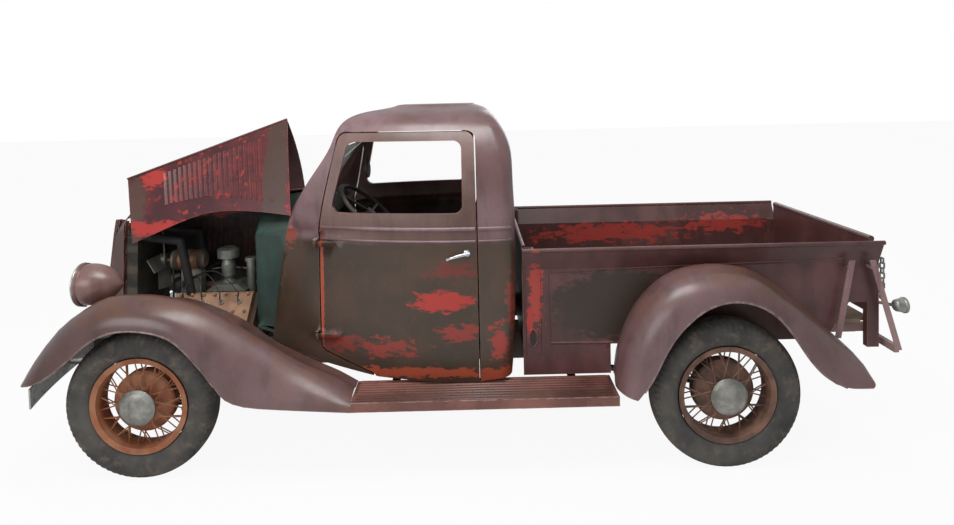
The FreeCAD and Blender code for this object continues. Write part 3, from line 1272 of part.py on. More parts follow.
def cab_table():
    """Plan outlines of the cab below its belt and above it, from the named sizes."""
    half = s.cab_half
    rear = s.cab_rear
    seam = s.cowl_seam
    lean = s.cowl_lean
    foot_front = s.cowl_foot_half * 0.92
    lower = [
        (s.cab_low - s.overrun, seam - lean * 1.3, foot_front, half * 0.884, rear - s.cab_tuck, half * 0.95),
        (s.cowl_foot, seam - lean, s.cowl_foot_half, half * 0.925, rear - s.cab_tuck * 0.4, half * 0.975),
        (part_way(s.cowl_foot, s.cab_belt, 0.6), seam - lean * 0.4, s.cowl_foot_half * 1.01,
         half * 0.943, rear, half),
        (s.cab_belt, seam, s.cowl_half, half * 0.945, rear, half),
    ]
    base = s.screen_station
    slope = s.screen_rake / (s.screen_top - s.screen_base)
    wide = s.screen_half
    tub = lower[-1]
    start = base - slope * (s.screen_base - s.cab_belt) * 0.5
    middle = (start + tub[4] - s.cab_corner) / 2
    upper = [
        (s.cab_belt, start, side_half(tub, start), side_half(tub, middle), rear, half),
        (s.screen_base, base, wide * 1.09, half * 0.935, rear, half * 0.985),
        (part_way(s.screen_base, s.screen_top, 0.55), base + s.screen_rake * 0.55, wide * 1.08,
         half * 0.89, rear - s.cab_tuck * 0.1, half * 0.93),
        (s.screen_top, base + s.screen_rake, wide * 1.03, half * 0.835, rear - s.cab_tuck * 0.5, half * 0.86),
        (part_way(s.screen_top, s.cab_roof, 0.47), base + s.screen_rake * 1.22, wide * 0.93,
         half * 0.755, rear - s.cab_tuck * 1.9, half * 0.77),
        (part_way(s.screen_top, s.cab_roof, 0.82), base + s.screen_rake * 1.84, wide * 0.7,
         half * 0.58, rear - s.cab_tuck * 4, half * 0.59),
        (s.cab_roof, base + s.screen_rake * 2.9, wide * 0.4, half * 0.36, rear - s.cab_tuck * 7, half * 0.36),
    ]
    return lower, upper


def plan_wire(section, inset, lift, lead):
    """A plan outline: straight front, bowed sides, round rear corners and a flat back."""
    height, front, front_half, middle_half, rear, rear_half = section
    height += lift
    front += lead
    rear -= inset
    corner = min(s.cab_corner, rear_half / 3)
    front_half -= inset
    middle_half -= inset
    rear_half -= inset
    bow = 2 * middle_half - (front_half + rear_half) / 2
    middle = (front + rear - corner) / 2
    edges = []
    for side in (-1, 1):
        curve = Part.BezierCurve()
        curve.setPoles([at(front, side * front_half, height), at(middle, side * bow, height),
                        at(rear - corner, side * rear_half, height)])
        turn_point = corner * (1 - math.sqrt(0.5))
        bend = Part.Arc(at(rear - corner, side * rear_half, height),
                        at(rear - turn_point, side * (rear_half - turn_point), height),
                        at(rear, side * (rear_half - corner), height))
        edges.append((curve.toShape(), bend.toShape()))
    back = Part.makeLine(at(rear, -rear_half + corner, height), at(rear, rear_half - corner, height))
    face = Part.makeLine(at(front, -front_half, height), at(front, front_half, height))
    return Part.Wire(Part.__sortEdges__([face, edges[0][0], edges[0][1], back, edges[1][1], edges[1][0]]))


def cowl_wire(station, half, shoulder, crown, inset, low):
    """The arched section of the cowl's top."""
    left = at(station, -half + inset, shoulder - inset * 0.4)
    right = at(station, half - inset, shoulder - inset * 0.4)
    return Part.Wire([Part.Arc(left, at(station, 0, crown - inset), right).toShape(),
                      Part.makeLine(right, at(station, half - inset, low)),
                      Part.makeLine(at(station, half - inset, low), at(station, -half + inset, low)),
                      Part.makeLine(at(station, -half + inset, low), left)])


def cab_solid(inset):
    """The cab's outer form, or its hollow when inset by the wall."""
    lower, upper = cab_table()
    run_out = -s.overrun * 2 if inset else 0
    body_low = Part.makeLoft([plan_wire(row, inset, 0, run_out) for row in lower], True)
    rows = [plan_wire(row, inset, -inset if row[0] > s.screen_top else 0, inset * 0.7) for row in upper]
    body_high = Part.makeLoft(rows, True)
    step = s.overrun if inset else 0
    cowl = Part.makeLoft([
        cowl_wire(s.cowl_seam - step, s.cowl_half, s.cowl_shoulder, s.cowl_crown, inset, s.cab_belt - s.overrun),
        cowl_wire(part_way(s.cowl_seam, s.screen_station, 1), part_way(s.cowl_half, s.screen_half, 0.62),
                  s.cowl_shoulder + s.cowl_rise, s.screen_base, inset, s.cab_belt - s.overrun),
        cowl_wire(s.screen_station + s.cab_tuck * 4, s.screen_half * 1.16, s.cowl_shoulder + s.cowl_rise * 1.5,
                  s.screen_base, inset, s.cab_belt - s.overrun)], True, True)
    return body_low.multiFuse([body_high, cowl])


def side_prism(points, low_y, high_y):
    """A prism across the truck on an outline of (station, height) points."""
    ring = [at(x, low_y, z) for x, z in points]
    return prism(ring, Vector(0, high_y - low_y, 0))


cab_skin = cab_solid(0)
cab_hollow = cab_solid(s.cab_wall)
cab_walls = cab_skin.cut(cab_hollow)
under = [(s.cowl_seam - s.cowl_lean * 2, s.cowl_foot - s.cab_wall),
         (s.cowl_seam - s.cowl_lean * 0.5, s.cowl_foot - s.cab_wall * 1.4),
         (s.door_front - s.door_hinge_lead, s.cab_low + s.cab_wall * 2.3),
         (part_way(s.door_front, s.door_rear, 0.37), s.cab_low + s.cab_wall * 0.5),
         (part_way(s.door_front, s.door_rear, 0.7), s.cab_low), (s.door_rear, s.cab_low),
         (s.cab_rear - s.cab_tuck * 1.5, s.cab_low + s.cab_wall * 0.4),
         (s.cab_rear + s.overrun, s.cab_low + s.cab_wall)]
below = under + [(s.cab_rear + s.overrun, s.cab_low - s.overrun * 2),
                 (s.cowl_seam - s.cowl_lean * 2, s.cab_low - s.overrun * 2)]
cab_walls = cab_walls.cut(side_prism(below, -s.cab_half - s.overrun, s.cab_half + s.overrun))
rail_top = s.rail_low + s.rail_depth + s.seam
over_rails = [(s.door_rear + s.cab_corner, s.cab_low - s.overrun * 2), (s.cab_rear + s.overrun, s.cab_low - s.overrun * 2),
              (s.cab_rear + s.overrun, rail_top), (s.door_rear + s.cab_corner, rail_top)]
cab_walls = cab_walls.cut(side_prism(over_rails, -s.rail_reach - s.moving_gap, s.rail_reach + s.moving_gap))


def rounded(points, radius, low_y, high_y):
    """A prism across the truck with its upright corners rounded."""
    solid = side_prism(points, low_y, high_y)
    across = [edge for edge in solid.Edges
              if abs(edge.Vertexes[0].Point.y - edge.Vertexes[1].Point.y) > abs(high_y - low_y) / 2]
    return solid.makeFillet(radius, across)


def door_outline(gap):
    """The door seen from the side, drawn in all round by a gap."""
    lean = s.sight_front - s.door_front
    sill = part_way(s.door_front, s.door_rear, 0.35)
    return [(s.door_front + gap, s.sill_high + gap), (sill + gap, s.cab_low + s.cab_wall * 0.75 + gap),
            (sill + gap, s.cab_low - s.overrun * 5), (s.door_rear - gap, s.cab_low - s.overrun * 5),
            (s.door_rear - gap, s.cab_belt), (s.door_rear - gap * 2, s.door_top - gap),
            (s.door_front + lean + gap, s.door_top - gap), (s.door_front + gap, s.cab_belt + s.overrun)]


sight = [(s.sight_front - s.sight_corner * 0.6, s.sight_low), (s.sight_rear, s.sight_low),
         (s.sight_rear, s.sight_high), (s.sight_front + s.sight_corner, s.sight_high)]
far_out = s.cab_half + s.overrun
door_reach = s.cab_half * 0.6
doors = {}
openings = []
for side, name in ((-1, "left"), (1, "right")):
    window = rounded(sight, s.sight_corner * 0.8, side * door_reach, side * far_out)
    blank = rounded(door_outline(s.moving_gap), s.sight_corner * 0.9, side * door_reach, side * far_out)
    doors[name] = cab_walls.common(blank).cut(window)
    openings.append(rounded(door_outline(0), s.sight_corner, side * (door_reach - s.moving_gap), side * far_out))

rake = Vector(s.screen_rake, 0, s.screen_top - s.screen_base)
rake.normalize()
through = Vector(rake.z, 0, -rake.x)
foot = at(s.screen_station, 0, s.screen_base) + rake * s.cab_wall * 0.7
top = at(s.screen_station + s.screen_rake, 0, s.screen_top) - rake * s.cab_wall * 0.3


def screen_block(trim, near, far):
    """The windscreen's opening or pane, square to its rake."""
    half = Vector(0, s.screen_half - trim, 0)
    low = foot + rake * trim + through * near
    high = top - rake * trim + through * near
    return prism([low - half, low + half, high + half * 0.97, high - half * 0.97], through * (far - near))


def back_block(trim, near, far):
    """The rear window's opening or pane."""
    half = s.back_sight_half - trim
    low = s.back_sight_low + trim
    high = s.back_sight_high - trim
    x = s.cab_rear - near
    ring = [at(x, -half, low), at(x, half, low), at(x, half * 0.96, high), at(x, -half * 0.96, high)]
    solid = prism(ring, Vector(near - far, 0, 0))
    along = [edge for edge in solid.Edges
             if abs(edge.Vertexes[0].Point.x - edge.Vertexes[1].Point.x) > abs(far - near) / 2]
    return solid.makeFillet(s.sight_corner * 0.6, along)


openings.append(screen_block(0, -s.cab_wall * 3, s.cab_wall * 4))
openings.append(back_block(0, -s.cab_wall * 2, s.cab_wall * 4))
cab_shell = cab_walls.cut(openings[0])
for opening in openings[1:]:
    cab_shell = cab_shell.cut(opening)
cab_shell = Part.makeCompound([solid for solid in cab_shell.Solids if solid.Volume > s.cab_wall ** 3])

# Doors, hinged ahead of their front edge


def line_hit(shape, start, end):
    """The stretch of a line that lies inside a shape."""
    return Part.makeLine(start, end).common(shape).BoundBox


def cab_side(station, height):
    """Half the cab's width at a place."""
    return -line_hit(cab_skin, at(station, 0, height), at(station, -far_out, height)).YMin


hinge_station = s.door_front - s.door_hinge_lead
hinge_reach = cab_side(s.door_front, s.cab_belt) + s.door_hinge_set
hinge_heights = (part_way(s.sill_high, s.cab_belt, 0.12), part_way(s.sill_high, s.cab_belt, 0.9))


def door_hinges(side):
    """Two barrels on the hinge's axis, each with a strap that runs back onto the door's skin."""
    pieces = []
    for height in hinge_heights:
        y = side * hinge_reach
        low = at(hinge_station, y, height - s.hinge_barrel * 2)
        pieces.append(Part.makeCylinder(s.hinge_barrel, s.hinge_barrel * 4, low))
        back = s.door_front + s.door_strap
        skin = cab_side(back, height)
        ring = [at(hinge_station, y, height), at(hinge_station, y - side * s.hinge_barrel / 2, height),
                at(s.door_front + s.moving_gap, side * (cab_side(s.door_front, height) + s.seam * 3), height),
                at(s.door_front + s.moving_gap * 3, side * (cab_side(s.door_front, height) - s.cab_wall / 3), height),
                at(back, side * (skin - s.cab_wall / 3), height), at(back, side * (skin + s.hinge_barrel / 2), height)]
        ring = [point - Vector(0, 0, s.hinge_barrel * 1.2) for point in ring]
        pieces.append(prism(ring, Vector(0, 0, s.hinge_barrel * 2.4)))
    return pieces


def pillar_leaves(side):
    """The post's own leaf over each door barrel, from inside the post's skin out past the axis."""
    leaves = []
    for height in hinge_heights:
        low = height + s.hinge_barrel * 2 + s.seam
        skin = cab_side(hinge_station, low + s.hinge_barrel) - s.cab_wall / 3
        ring = [at(hinge_station - s.hinge_barrel, side * skin, low),
                at(hinge_station - s.hinge_barrel, side * (hinge_reach + s.hinge_barrel), low),
                at(hinge_station + s.hinge_barrel, side * (hinge_reach + s.hinge_barrel), low),
                at(hinge_station + s.hinge_barrel, side * skin, low)]
        leaves.append(prism(ring, Vector(0, 0, s.hinge_barrel)))
    return leaves


formed("cab_shell", cab_shell.multiFuse(pillar_leaves(-1) + pillar_leaves(1)))
for side, name in ((-1, "left"), (1, "right")):
    formed(f"door_{name}", doors[name].multiFuse(door_hinges(side)))

# Fixed glass, floor, firewall, dash, seat and pedals

panes = [screen_block(s.seam, s.cab_wall * 0.8, s.cab_wall * 0.8 + s.glass_plate),
         back_block(s.seam, s.cab_wall * 0.4, s.cab_wall * 0.4 + s.glass_plate)]
formed("cab_glass", Part.makeCompound(panes))

floor_top = rail_top + s.floor_plate
toe_station = s.cowl_seam
floor_edge = []
for share in (0, 0.15, 0.3, 0.5, 0.7, 1):
    station = part_way(toe_station, s.cab_rear - s.cab_tuck - s.cab_wall, share)
    floor_edge.append((station, cab_side(station, floor_top) - s.cab_wall - s.moving_gap))
corner = s.cab_corner * 0.6
rear_station = s.cab_rear - s.cab_tuck * 0.75 - s.cab_wall
floor_edge[-1] = (rear_station - corner, floor_edge[-1][1])
floor_edge.append((rear_station, floor_edge[-1][1] - corner))
ring = [at(x, y, floor_top - s.floor_plate) for x, y in floor_edge]
ring += [at(x, -y, floor_top - s.floor_plate) for x, y in floor_edge[::-1]]
seat_box = side_prism([(s.seat_front + s.overrun * 2, floor_top - s.seam), (rear_station - s.overrun, floor_top - s.seam),
                       (rear_station - s.overrun, s.seat_base), (s.seat_front + s.overrun, s.seat_base)],
                      -s.seat_half, s.seat_half)
lever_hole = Part.makeCylinder(s.lever_radius * 3.5, s.overrun * 2,
                               at(s.lever_station + s.lever_radius, 0, floor_top - s.overrun))
formed("cab_floor", prism(ring, Vector(0, 0, s.floor_plate)).fuse(seat_box).cut(lever_hole))

column_hole = Part.makeCylinder(s.column_radius + s.seam * 8, s.wheel_station, box_middle, column_run)


def firewall_wires(inset, step):
    """The recess between the hood and the cab: a small arch at the front, a large one at the seam."""
    wires = []
    for station, drop, half_inset in ((s.firewall_station + step, 3, 4.5), (s.cowl_seam + step * 2, 1, 1)):
        half = s.cowl_half - s.firewall_inset * half_inset
        shoulder = s.cowl_shoulder - s.firewall_inset * drop
        wires.append(arch_wire(lambda z, place=station: place, half, s.firewall_foot - step, half, shoulder,
                               s.cowl_crown - s.firewall_inset * drop, inset))
    return wires


recess = Part.makeLoft(firewall_wires(0, 0), True, True).cut(
    Part.makeLoft(firewall_wires(s.firewall_wall, s.firewall_wall), True, True))
behind = [(s.cowl_seam - s.seam * 3, s.cowl_crown + s.overrun), (s.cowl_seam - s.seam * 3, s.cab_belt),
          (s.cowl_seam - s.cowl_lean - s.seam * 3, s.cowl_foot),
          (s.cowl_seam - s.cowl_lean * 1.3, s.cab_low), (s.cowl_seam + s.cowl_lean, s.cab_low),
          (s.cowl_seam + s.cowl_lean, s.cowl_crown + s.overrun)]
recess = recess.cut(side_prism(behind, -s.cab_half, s.cab_half))
toe_half = s.rail_reach
toe = side_prism([(s.firewall_station, s.firewall_foot), (s.firewall_station + s.firewall_wall * 2, s.firewall_foot),
                  (toe_station - s.seam, floor_top), (toe_station - s.seam, floor_top - s.floor_plate),
                  (toe_station - s.overrun, floor_top - s.floor_plate),
                  (s.firewall_station, s.firewall_foot - s.firewall_wall * 2)], -toe_half, toe_half)
formed("firewall", recess.fuse(toe).cut(column_hole))


def cab_inside(station, height):
    """Half the room inside the cab at a place."""
    hits = Part.makeLine(at(station, 0, height), at(station, -far_out, height)).common(cab_hollow)
    return -max(hits.Edges, key=lambda edge: edge.BoundBox.YMax).BoundBox.YMin


dash_front = s.screen_station + s.overrun
dash_rear = s.door_front - s.overrun * 2
dash_top = s.screen_base - s.overrun * 3
dash_stations = [part_way(dash_front, dash_rear, share) for share in (0, 0.25, 0.5, 0.75, 1)]
dash_ring = []
for side, stations in ((-1, dash_stations), (1, dash_stations[::-1])):
    for station in stations:
        half = min(cab_inside(station, height) for height in (dash_top, s.cab_belt + s.seam, dash_top - s.dash_depth))
        dash_ring.append(at(station, side * (half - s.seat_gap), dash_top))
formed("dash", prism(dash_ring, Vector(0, 0, -s.dash_depth)))

seat_low = s.seat_base + s.seam
cushion = side_prism([(s.seat_front, seat_low), (rear_station - s.seat_back_thick, seat_low),
                      (rear_station - s.seat_back_thick, seat_low + s.seat_thick * 0.85),
                      (s.seat_front, seat_low + s.seat_thick)], -s.seat_half, s.seat_half)
edges = [edge for edge in cushion.Edges if edge.BoundBox.ZMin > seat_low + s.seat_thick * 0.5]
formed("seat_cushion", cushion.makeFillet(s.overrun * 1.5, edges))
cushion_slope = s.seat_thick * 0.15 / (rear_station - s.seat_back_thick - s.seat_front)
back_low = seat_low + s.seat_thick * 0.85 + cushion_slope * s.seat_back_thick / 2 + s.seam
back = side_prism([(rear_station - s.seat_back_thick * 1.5, back_low), (rear_station - s.seat_back_thick * 0.3, back_low),
                   (rear_station - s.seam * 2, s.seat_back_high), (rear_station - s.seat_back_thick * 0.8, s.seat_back_high)],
                  -s.seat_half, s.seat_half)
edges = [edge for edge in back.Edges if edge.BoundBox.ZMin > back_low + s.overrun * 2]
formed("seat_back", back.makeFillet(s.overrun * 1.2, edges))

pedals = []
for reach in (s.driver_reach + s.pedal_pitch, s.driver_reach - s.pedal_pitch):
    foot = at(part_way(s.firewall_station, toe_station, 0.66), -reach, floor_top + s.overrun * 1.22)
    pad_middle = foot + Vector(s.pedal_pitch / 2, 0, s.pedal_pitch)
    pedals += [rod("pedal_arm", foot, pad_middle, "lever_radius"),
               rod("pedal_pad", pad_middle, pad_middle + Vector(-s.lever_radius / 2, 0, s.lever_radius), "pedal_pitch / 3")]
joined("pedals", *pedals)

# Fenders, from rows of points that run from the inner edge over the crown to the lip

# station and height of the lip and of the crown, then station, reach and height of the inner edge
FRONT_FENDER_SHARES = (
    (0.066, 0.581, 0.000, 0.547, 0.050, 0.386, 0.626),
    (0.110, 0.609, 0.034, 0.659, 0.075, 0.339, 0.693),
    (0.178, 0.704, 0.110, 0.827, 0.106, 0.306, 0.771),
    (0.239, 0.796, 0.187, 0.931, 0.141, 0.251, 0.821),
    (0.299, 0.846, 0.255, 0.989, 0.232, 0.287, 0.849),
    (0.358, 0.855, 0.325, 1.000, 0.325, 0.325, 0.851),
    (0.410, 0.846, 0.393, 0.996, 0.393, 0.351, 0.851),
    (0.461, 0.821, 0.447, 0.980, 0.451, 0.374, 0.847),
    (0.500, 0.778, 0.507, 0.950, 0.507, 0.398, 0.825),
    (0.537, 0.705, 0.569, 0.901, 0.569, 0.423, 0.777),
    (0.574, 0.626, 0.636, 0.823, 0.636, 0.450, 0.707),
    (0.605, 0.542, 0.716, 0.732, 0.704, 0.480, 0.628),
    (0.634, 0.475, 0.783, 0.654, 0.776, 0.000, 0.585),
    (0.689, 0.436, 0.842, 0.589, 0.836, 0.000, 0.552),
    (0.776, 0.417, 0.897, 0.545, 0.890, 0.000, 0.523),
    (0.889, 0.400, 0.949, 0.502, 0.942, 0.000, 0.492),
    (1.000, 0.385, 1.000, 0.449, 1.000, 0.000, 0.441),
)
REAR_FENDER_SHARES = (
    (0.064, 0.403, 0.000, 0.419),
    (0.119, 0.492, 0.012, 0.545),
    (0.160, 0.597, 0.041, 0.670),
    (0.202, 0.691, 0.091, 0.793),
    (0.251, 0.764, 0.168, 0.902),
    (0.313, 0.832, 0.258, 0.971),
    (0.378, 0.870, 0.348, 0.996),
    (0.453, 0.883, 0.438, 1.000),
    (0.539, 0.858, 0.549, 0.976),
    (0.615, 0.794, 0.639, 0.915),
    (0.679, 0.688, 0.728, 0.826),
    (0.724, 0.597, 0.828, 0.708),
    (0.776, 0.517, 0.897, 0.628),
    (0.830, 0.461, 0.951, 0.565),
    (0.897, 0.437, 0.989, 0.513),
    (0.975, 0.438, 1.004, 0.461),
)
LIP_TURNS = (25, 50, 70, 90)


def fender_row(inner, crown, lip, swell):
    """Points from the inner edge up to the crown and round an elliptic quarter to the lip."""
    row = [inner]
    for share in (1 / 3, 2 / 3):
        row.append(part_way(inner, crown, share) + Vector(0, 0, swell * math.sin(math.pi * share)))
    row.append(crown)
    for degrees in LIP_TURNS:
        out = math.sin(math.radians(degrees))
        down = 1 - math.cos(math.radians(degrees))
        row.append(Vector(part_way(crown.x, lip.x, down), part_way(crown.y, lip.y, out), part_way(crown.z, lip.z, down)))
    return row




def outside(solid, station, height):
    """How far out a solid's side lies at a place, and just behind and above it."""
    reaches = [0]
    for lead in (0, s.overrun):
        for rise in (0, s.cab_wall):
            start = at(station + lead, 0, height + rise)
            hit = Part.makeLine(start, start - Vector(0, far_out, 0)).common(solid)
            if hit.Edges:
                reaches.append(-hit.BoundBox.YMin)
    return max(reaches)


def hood_share(station):
    """How far back a place lies along the foot of the hood's side."""
    return (station - s.shell_rear) / (s.cowl_seam - s.cowl_lean - s.shell_rear)


front_rows = []
crown_reach = s.fender_half - s.fender_shoulder
for lip_x, lip_z, crown_x, crown_z, inner_x, inner_y, inner_z in FRONT_FENDER_SHARES:
    stations = [share * s.fender_run - s.fender_nose for share in (lip_x, crown_x, inner_x)]
    heights = [share * s.fender_top for share in (lip_z, crown_z, inner_z)]
    reach = max(inner_y * s.fender_half, outside(cab_skin, stations[2], heights[2]) + s.seat_gap,
                outside(shell_sheet, stations[2], heights[2]) + s.seat_gap)
    share = hood_share(stations[2])
    if 0 <= share <= 1:
        reach = max(reach, hood_side_point(share, 1).y + s.moving_gap)
        heights[2] = min(heights[2], hood_foot(share))
    swell = -s.fender_swell * 1.5 * (crown_reach - reach) / crown_reach
    tail = max(0, (lip_x - 0.7) / 0.3)
    front_rows.append(fender_row(at(stations[2], -reach, heights[2]), at(stations[1], -crown_reach, heights[1]),
                                 at(stations[0], -part_way(s.fender_half, s.board_half, tail), heights[0]), swell))
front_fender = pressed_sheet(front_rows, s.fender_sheet)
rear_rows = []
rear_start = s.wheelbase - s.rear_fender_lead
rear_crown = s.rear_fender_half - s.fender_shoulder * 0.9
for lip_x, lip_z, crown_x, crown_z in REAR_FENDER_SHARES:
    lip = at(rear_start + lip_x * s.rear_fender_run, -s.rear_fender_half, lip_z * s.rear_fender_top)
    crown = at(rear_start + crown_x * s.rear_fender_run, -rear_crown, crown_z * s.rear_fender_top)
    middle = at(s.wheelbase, -s.bed_half - s.seat_gap, s.tyre_radius)
    inner = Vector(part_way(middle.x, crown.x, 0.96), middle.y, part_way(middle.z, crown.z, 0.96))
    rear_rows.append(fender_row(inner, crown, lip, s.fender_swell))
rear_fender = pressed_sheet(rear_rows, s.fender_sheet)


def fender_beneath(x, y):
    """Height of the front fender's underside over a place on its left."""
    return line_hit(front_fender, Vector(x, y, s.eye_high), Vector(x, y, s.fender_top * 1.1)).ZMin


bracket_x = front_axle + s.generator_front + s.overrun
bracket_y = -s.rail_reach + s.rail_flange / 2
doc.recompute()
bracket_seat = line_hit(frame.Shape, Vector(bracket_x, bracket_y, 0), Vector(bracket_x, bracket_y, s.fender_top)).ZMax
bracket_foot = Vector(bracket_x, bracket_y, bracket_seat + s.seam)
bracket_head = Vector(bracket_x, bracket_y, fender_beneath(bracket_x, bracket_y) + s.fender_sheet / 2)
front_fender = front_fender.fuse(round_bar(bracket_foot, bracket_head, s.lamp_post * 0.7))
formed("front_fender_left", front_fender)
formed("front_fender_right", other_side(front_fender))
formed("rear_fender_left", rear_fender)
formed("rear_fender_right", other_side(rear_fender))

# Running boards with ribs, an outer lip and arms to the frame

board_front = f"{FRONT} - fender_nose + fender_run + seam"
board_rear = f"{REAR} - rear_fender_lead - seam"
board = new_body("board")
sheet_top = "board_high - board_rib"
pad(board, "XY", f"{sheet_top} - board_sheet", sheet_top,
    corners(board_front, "-board_half", board_rear, "-board_inner"))
pad(board, "XY", "board_low", f"{sheet_top} - seam", corners(board_front, "-board_half", board_rear, "-board_half + board_sheet"))
for index in range(int(s.board_ribs)):
    y = f"(-board_half + (board_half - board_inner) * {(index + 0.5) / int(s.board_ribs):.4f})"
    pad(board, "XY", f"{sheet_top} - seam", "board_high",
        corners(f"{board_front} + overrun", f"{y} - board_rib", f"{board_rear} - overrun", f"{y} + board_rib"))
for share in (0.15, 0.5, 0.85):
    x = f"({board_front} + ({board_rear} - ({board_front})) * {share})"
    pad(board, "YZ", f"{x} - overrun", f"{x} + overrun", [
        ("-rail_reach - seam", "rail_low + rail_flange"), ("-board_inner", f"{sheet_top} - board_sheet / 2"),
        ("-board_half + overrun", f"{sheet_top} - board_sheet / 2"), ("-board_half + overrun", "board_low + overrun / 2"),
        ("-rail_reach - seam", "rail_low + seam")])
keep(board, "running_board_left")
mirrored("running_board_right", board)

# Headlamps, bumper and exhaust

lamp_x = f"{FRONT} + lamp_station"
lamps = []
for side in ("-", ""):
    bowl = new_body("lamp_bowl")
    turn(bowl, "XZ", "H_Axis", [
        ("lamp_radius * 0.35", "0"), ("lamp_radius * 0.12", "lamp_radius * 0.88"), ("0", "lamp_radius * 0.9"), ("0", "lamp_radius"),
        ("lamp_radius * 0.16", "lamp_radius"), ("lamp_radius * 0.16", "lamp_radius * 0.95"),
        ("lamp_length", "0", "lamp_length * 0.68", "lamp_radius * 0.7")])
    place(bowl, lamp_x, f"{side}lamp_reach", "lamp_level")
    lamps.append(bowl)
    post_x = front_axle + s.lamp_station + s.lamp_radius * 0.7
    seat = max(line_hit(front_fender, Vector(x, y, s.eye_high), Vector(x, y, s.fender_top)).ZMax
               for x in (post_x - s.lamp_post, post_x, post_x + s.lamp_post)
               for y in (-s.lamp_reach - s.lamp_post, -s.lamp_reach, -s.lamp_reach + s.lamp_post))
    y = -s.lamp_reach if side else s.lamp_reach
    lamps.append(rod("lamp_stem", Vector(post_x, y, seat + s.seat_gap), Vector(post_x, y, s.lamp_level - s.lamp_radius * 0.75), "lamp_post"))
joined("headlamps", *lamps)
lenses = []
for side in ("-", ""):
    lens = new_body("lens")
    turn(lens, "XZ", "H_Axis", [
        ("lamp_radius * 0.1", "0"), ("-lamp_radius * 0.12", "0"), ("-lamp_radius * 0.12", "lamp_radius * 0.3"),
        ("-lamp_radius * 0.07", "lamp_radius * 0.65"), ("0", "lamp_radius * 0.88"),
        ("lamp_radius * 0.1", "lamp_radius * 0.88")])
    place(lens, lamp_x, f"{side}lamp_reach", "lamp_level")
    lenses.append(lens)
joined("headlamp_lenses", *lenses)

bumper = new_body("bumper")
face_x = f"{FRONT} - front_reach"
end_x = f"({face_x} + bumper_sweep)"
pad(bumper, "XY", "bumper_low", "bumper_low + bumper_depth", [
    (end_x, "-bumper_half", face_x, "0"), (f"{end_x} + bumper_plate", "-bumper_half"),
    (f"{end_x} + bumper_plate", "bumper_half", f"{face_x} + bumper_plate", "0"), (end_x, "bumper_half")])
iron_low = "rail_front_low + rail_flange / 2 - bumper_iron - overrun / 10"
iron_rear = f"{FRONT} - rail_front + overrun"
for side in ("-", ""):
    low, high = ("-rail_reach", "-rail_reach + overrun") if side else ("rail_reach - overrun", "rail_reach")
    pad(bumper, "XZ", low, high, [
        (f"{face_x} + bumper_sweep * 0.24", iron_low), (iron_rear, iron_low),
        (iron_rear, f"{iron_low} + bumper_iron"), (f"{face_x} + bumper_sweep * 0.24", f"{iron_low} + bumper_iron")])
keep(bumper, "front_bumper")

log_level = s.crank_level + s.exhaust_radius
pipe_bends = [at(s.filler_station, s.exhaust_reach * 0.96, log_level), at(s.filler_station + s.bell_length, s.exhaust_reach, s.exhaust_level),
              at(s.door_rear - s.cab_belt * 0.45, s.exhaust_reach, s.exhaust_level), at(s.door_rear, s.exhaust_reach, s.exhaust_level),
              at(s.wheelbase - s.kick_near * 1.3, s.exhaust_reach, s.exhaust_level)]
pipes = [rod("exhaust_pipe", pipe_bends[0], pipe_bends[1], "exhaust_radius"), ball("exhaust_bend", pipe_bends[1], "exhaust_radius"),
         rod("exhaust_pipe", pipe_bends[1], pipe_bends[4], "exhaust_radius"),
         rod("silencer", pipe_bends[2], pipe_bends[3], "silencer_radius")]
hanger = part_way(pipe_bends[2], pipe_bends[3], 0.5)
hanger.y = s.rail_reach - s.rail_flange * 0.7
pipes.append(rod("hanger", hanger, Vector(hanger.x, hanger.y, s.rail_low - s.seam), "lever_radius"))
joined("exhaust", *pipes)

# Bed: floor with its sills, front panel, sides with flared rails, and corner posts

side_y = [("bed_half", "bed_crease"), ("bed_half", "bed_bend"), ("bed_half + bed_flare", "bed_rail - rail_roll"),
          ("bed_half + bed_flare - bed_sheet", "bed_rail - rail_roll"), ("bed_half - bed_sheet", "bed_bend + bed_sheet"),
          ("bed_half - bed_sheet", "bed_crease")]


def bed_side(name):
    """The left side: flared sheet, rolled rail, apron below, front and rear posts."""
    body = new_body(name)
    front = f"({FRONT} + bed_front)"
    rear = f"({REAR} + bed_rear)"
    pad(body, "YZ", front, rear, [(f"-({y})", z) for y, z in side_y])
    pad(body, "YZ", front, rear, ("-bed_half - bed_flare", "bed_rail - rail_roll", "rail_roll"))
    pad(body, "YZ", front, f"{FRONT} + apron_rear",
        corners("-bed_half", "apron_low", "-bed_half + bed_sheet", "bed_crease + bed_sheet"))
    pad(body, "YZ", f"{rear} - post_depth", rear,
        corners("-bed_half", "rail_rear_low", "-bed_half + post_width", "bed_bend + bed_sheet"))
    pad(body, "YZ", front, f"{front} + post_depth", [
        ("-bed_half", "bed_crease"), ("-bed_half", "bed_bend"), ("-bed_half - bed_flare + bed_sheet", "bed_rail - rail_roll"),
        ("-bed_half + post_width", "bed_rail - rail_roll"), ("-bed_half + post_width", "bed_crease")])
    pocket(body, "YZ", f"{front} + bed_sheet", f"{front} + post_depth - bed_sheet", corners(
        "-bed_half + bed_sheet", "bed_crease - overrun", "-bed_half + post_width - bed_sheet", "bed_rail"))
    tail_cut = "(bed_crease + tail_notch)"
    pocket(body, "XZ", "-bed_half - bed_flare - overrun", "-bed_half + bed_sheet + seam", [
        (f"{rear} - post_depth - tail_notch * 1.2", "bed_crease - overrun"),
        (f"{rear} - post_depth - tail_notch * 0.5", tail_cut),
        (f"{rear} - post_depth", tail_cut), (f"{rear} - post_depth", "bed_crease - overrun")])
    return body


keep(bed_side("bed_side"), "bed_side_left")
mirrored("bed_side_right", NODES[-1])

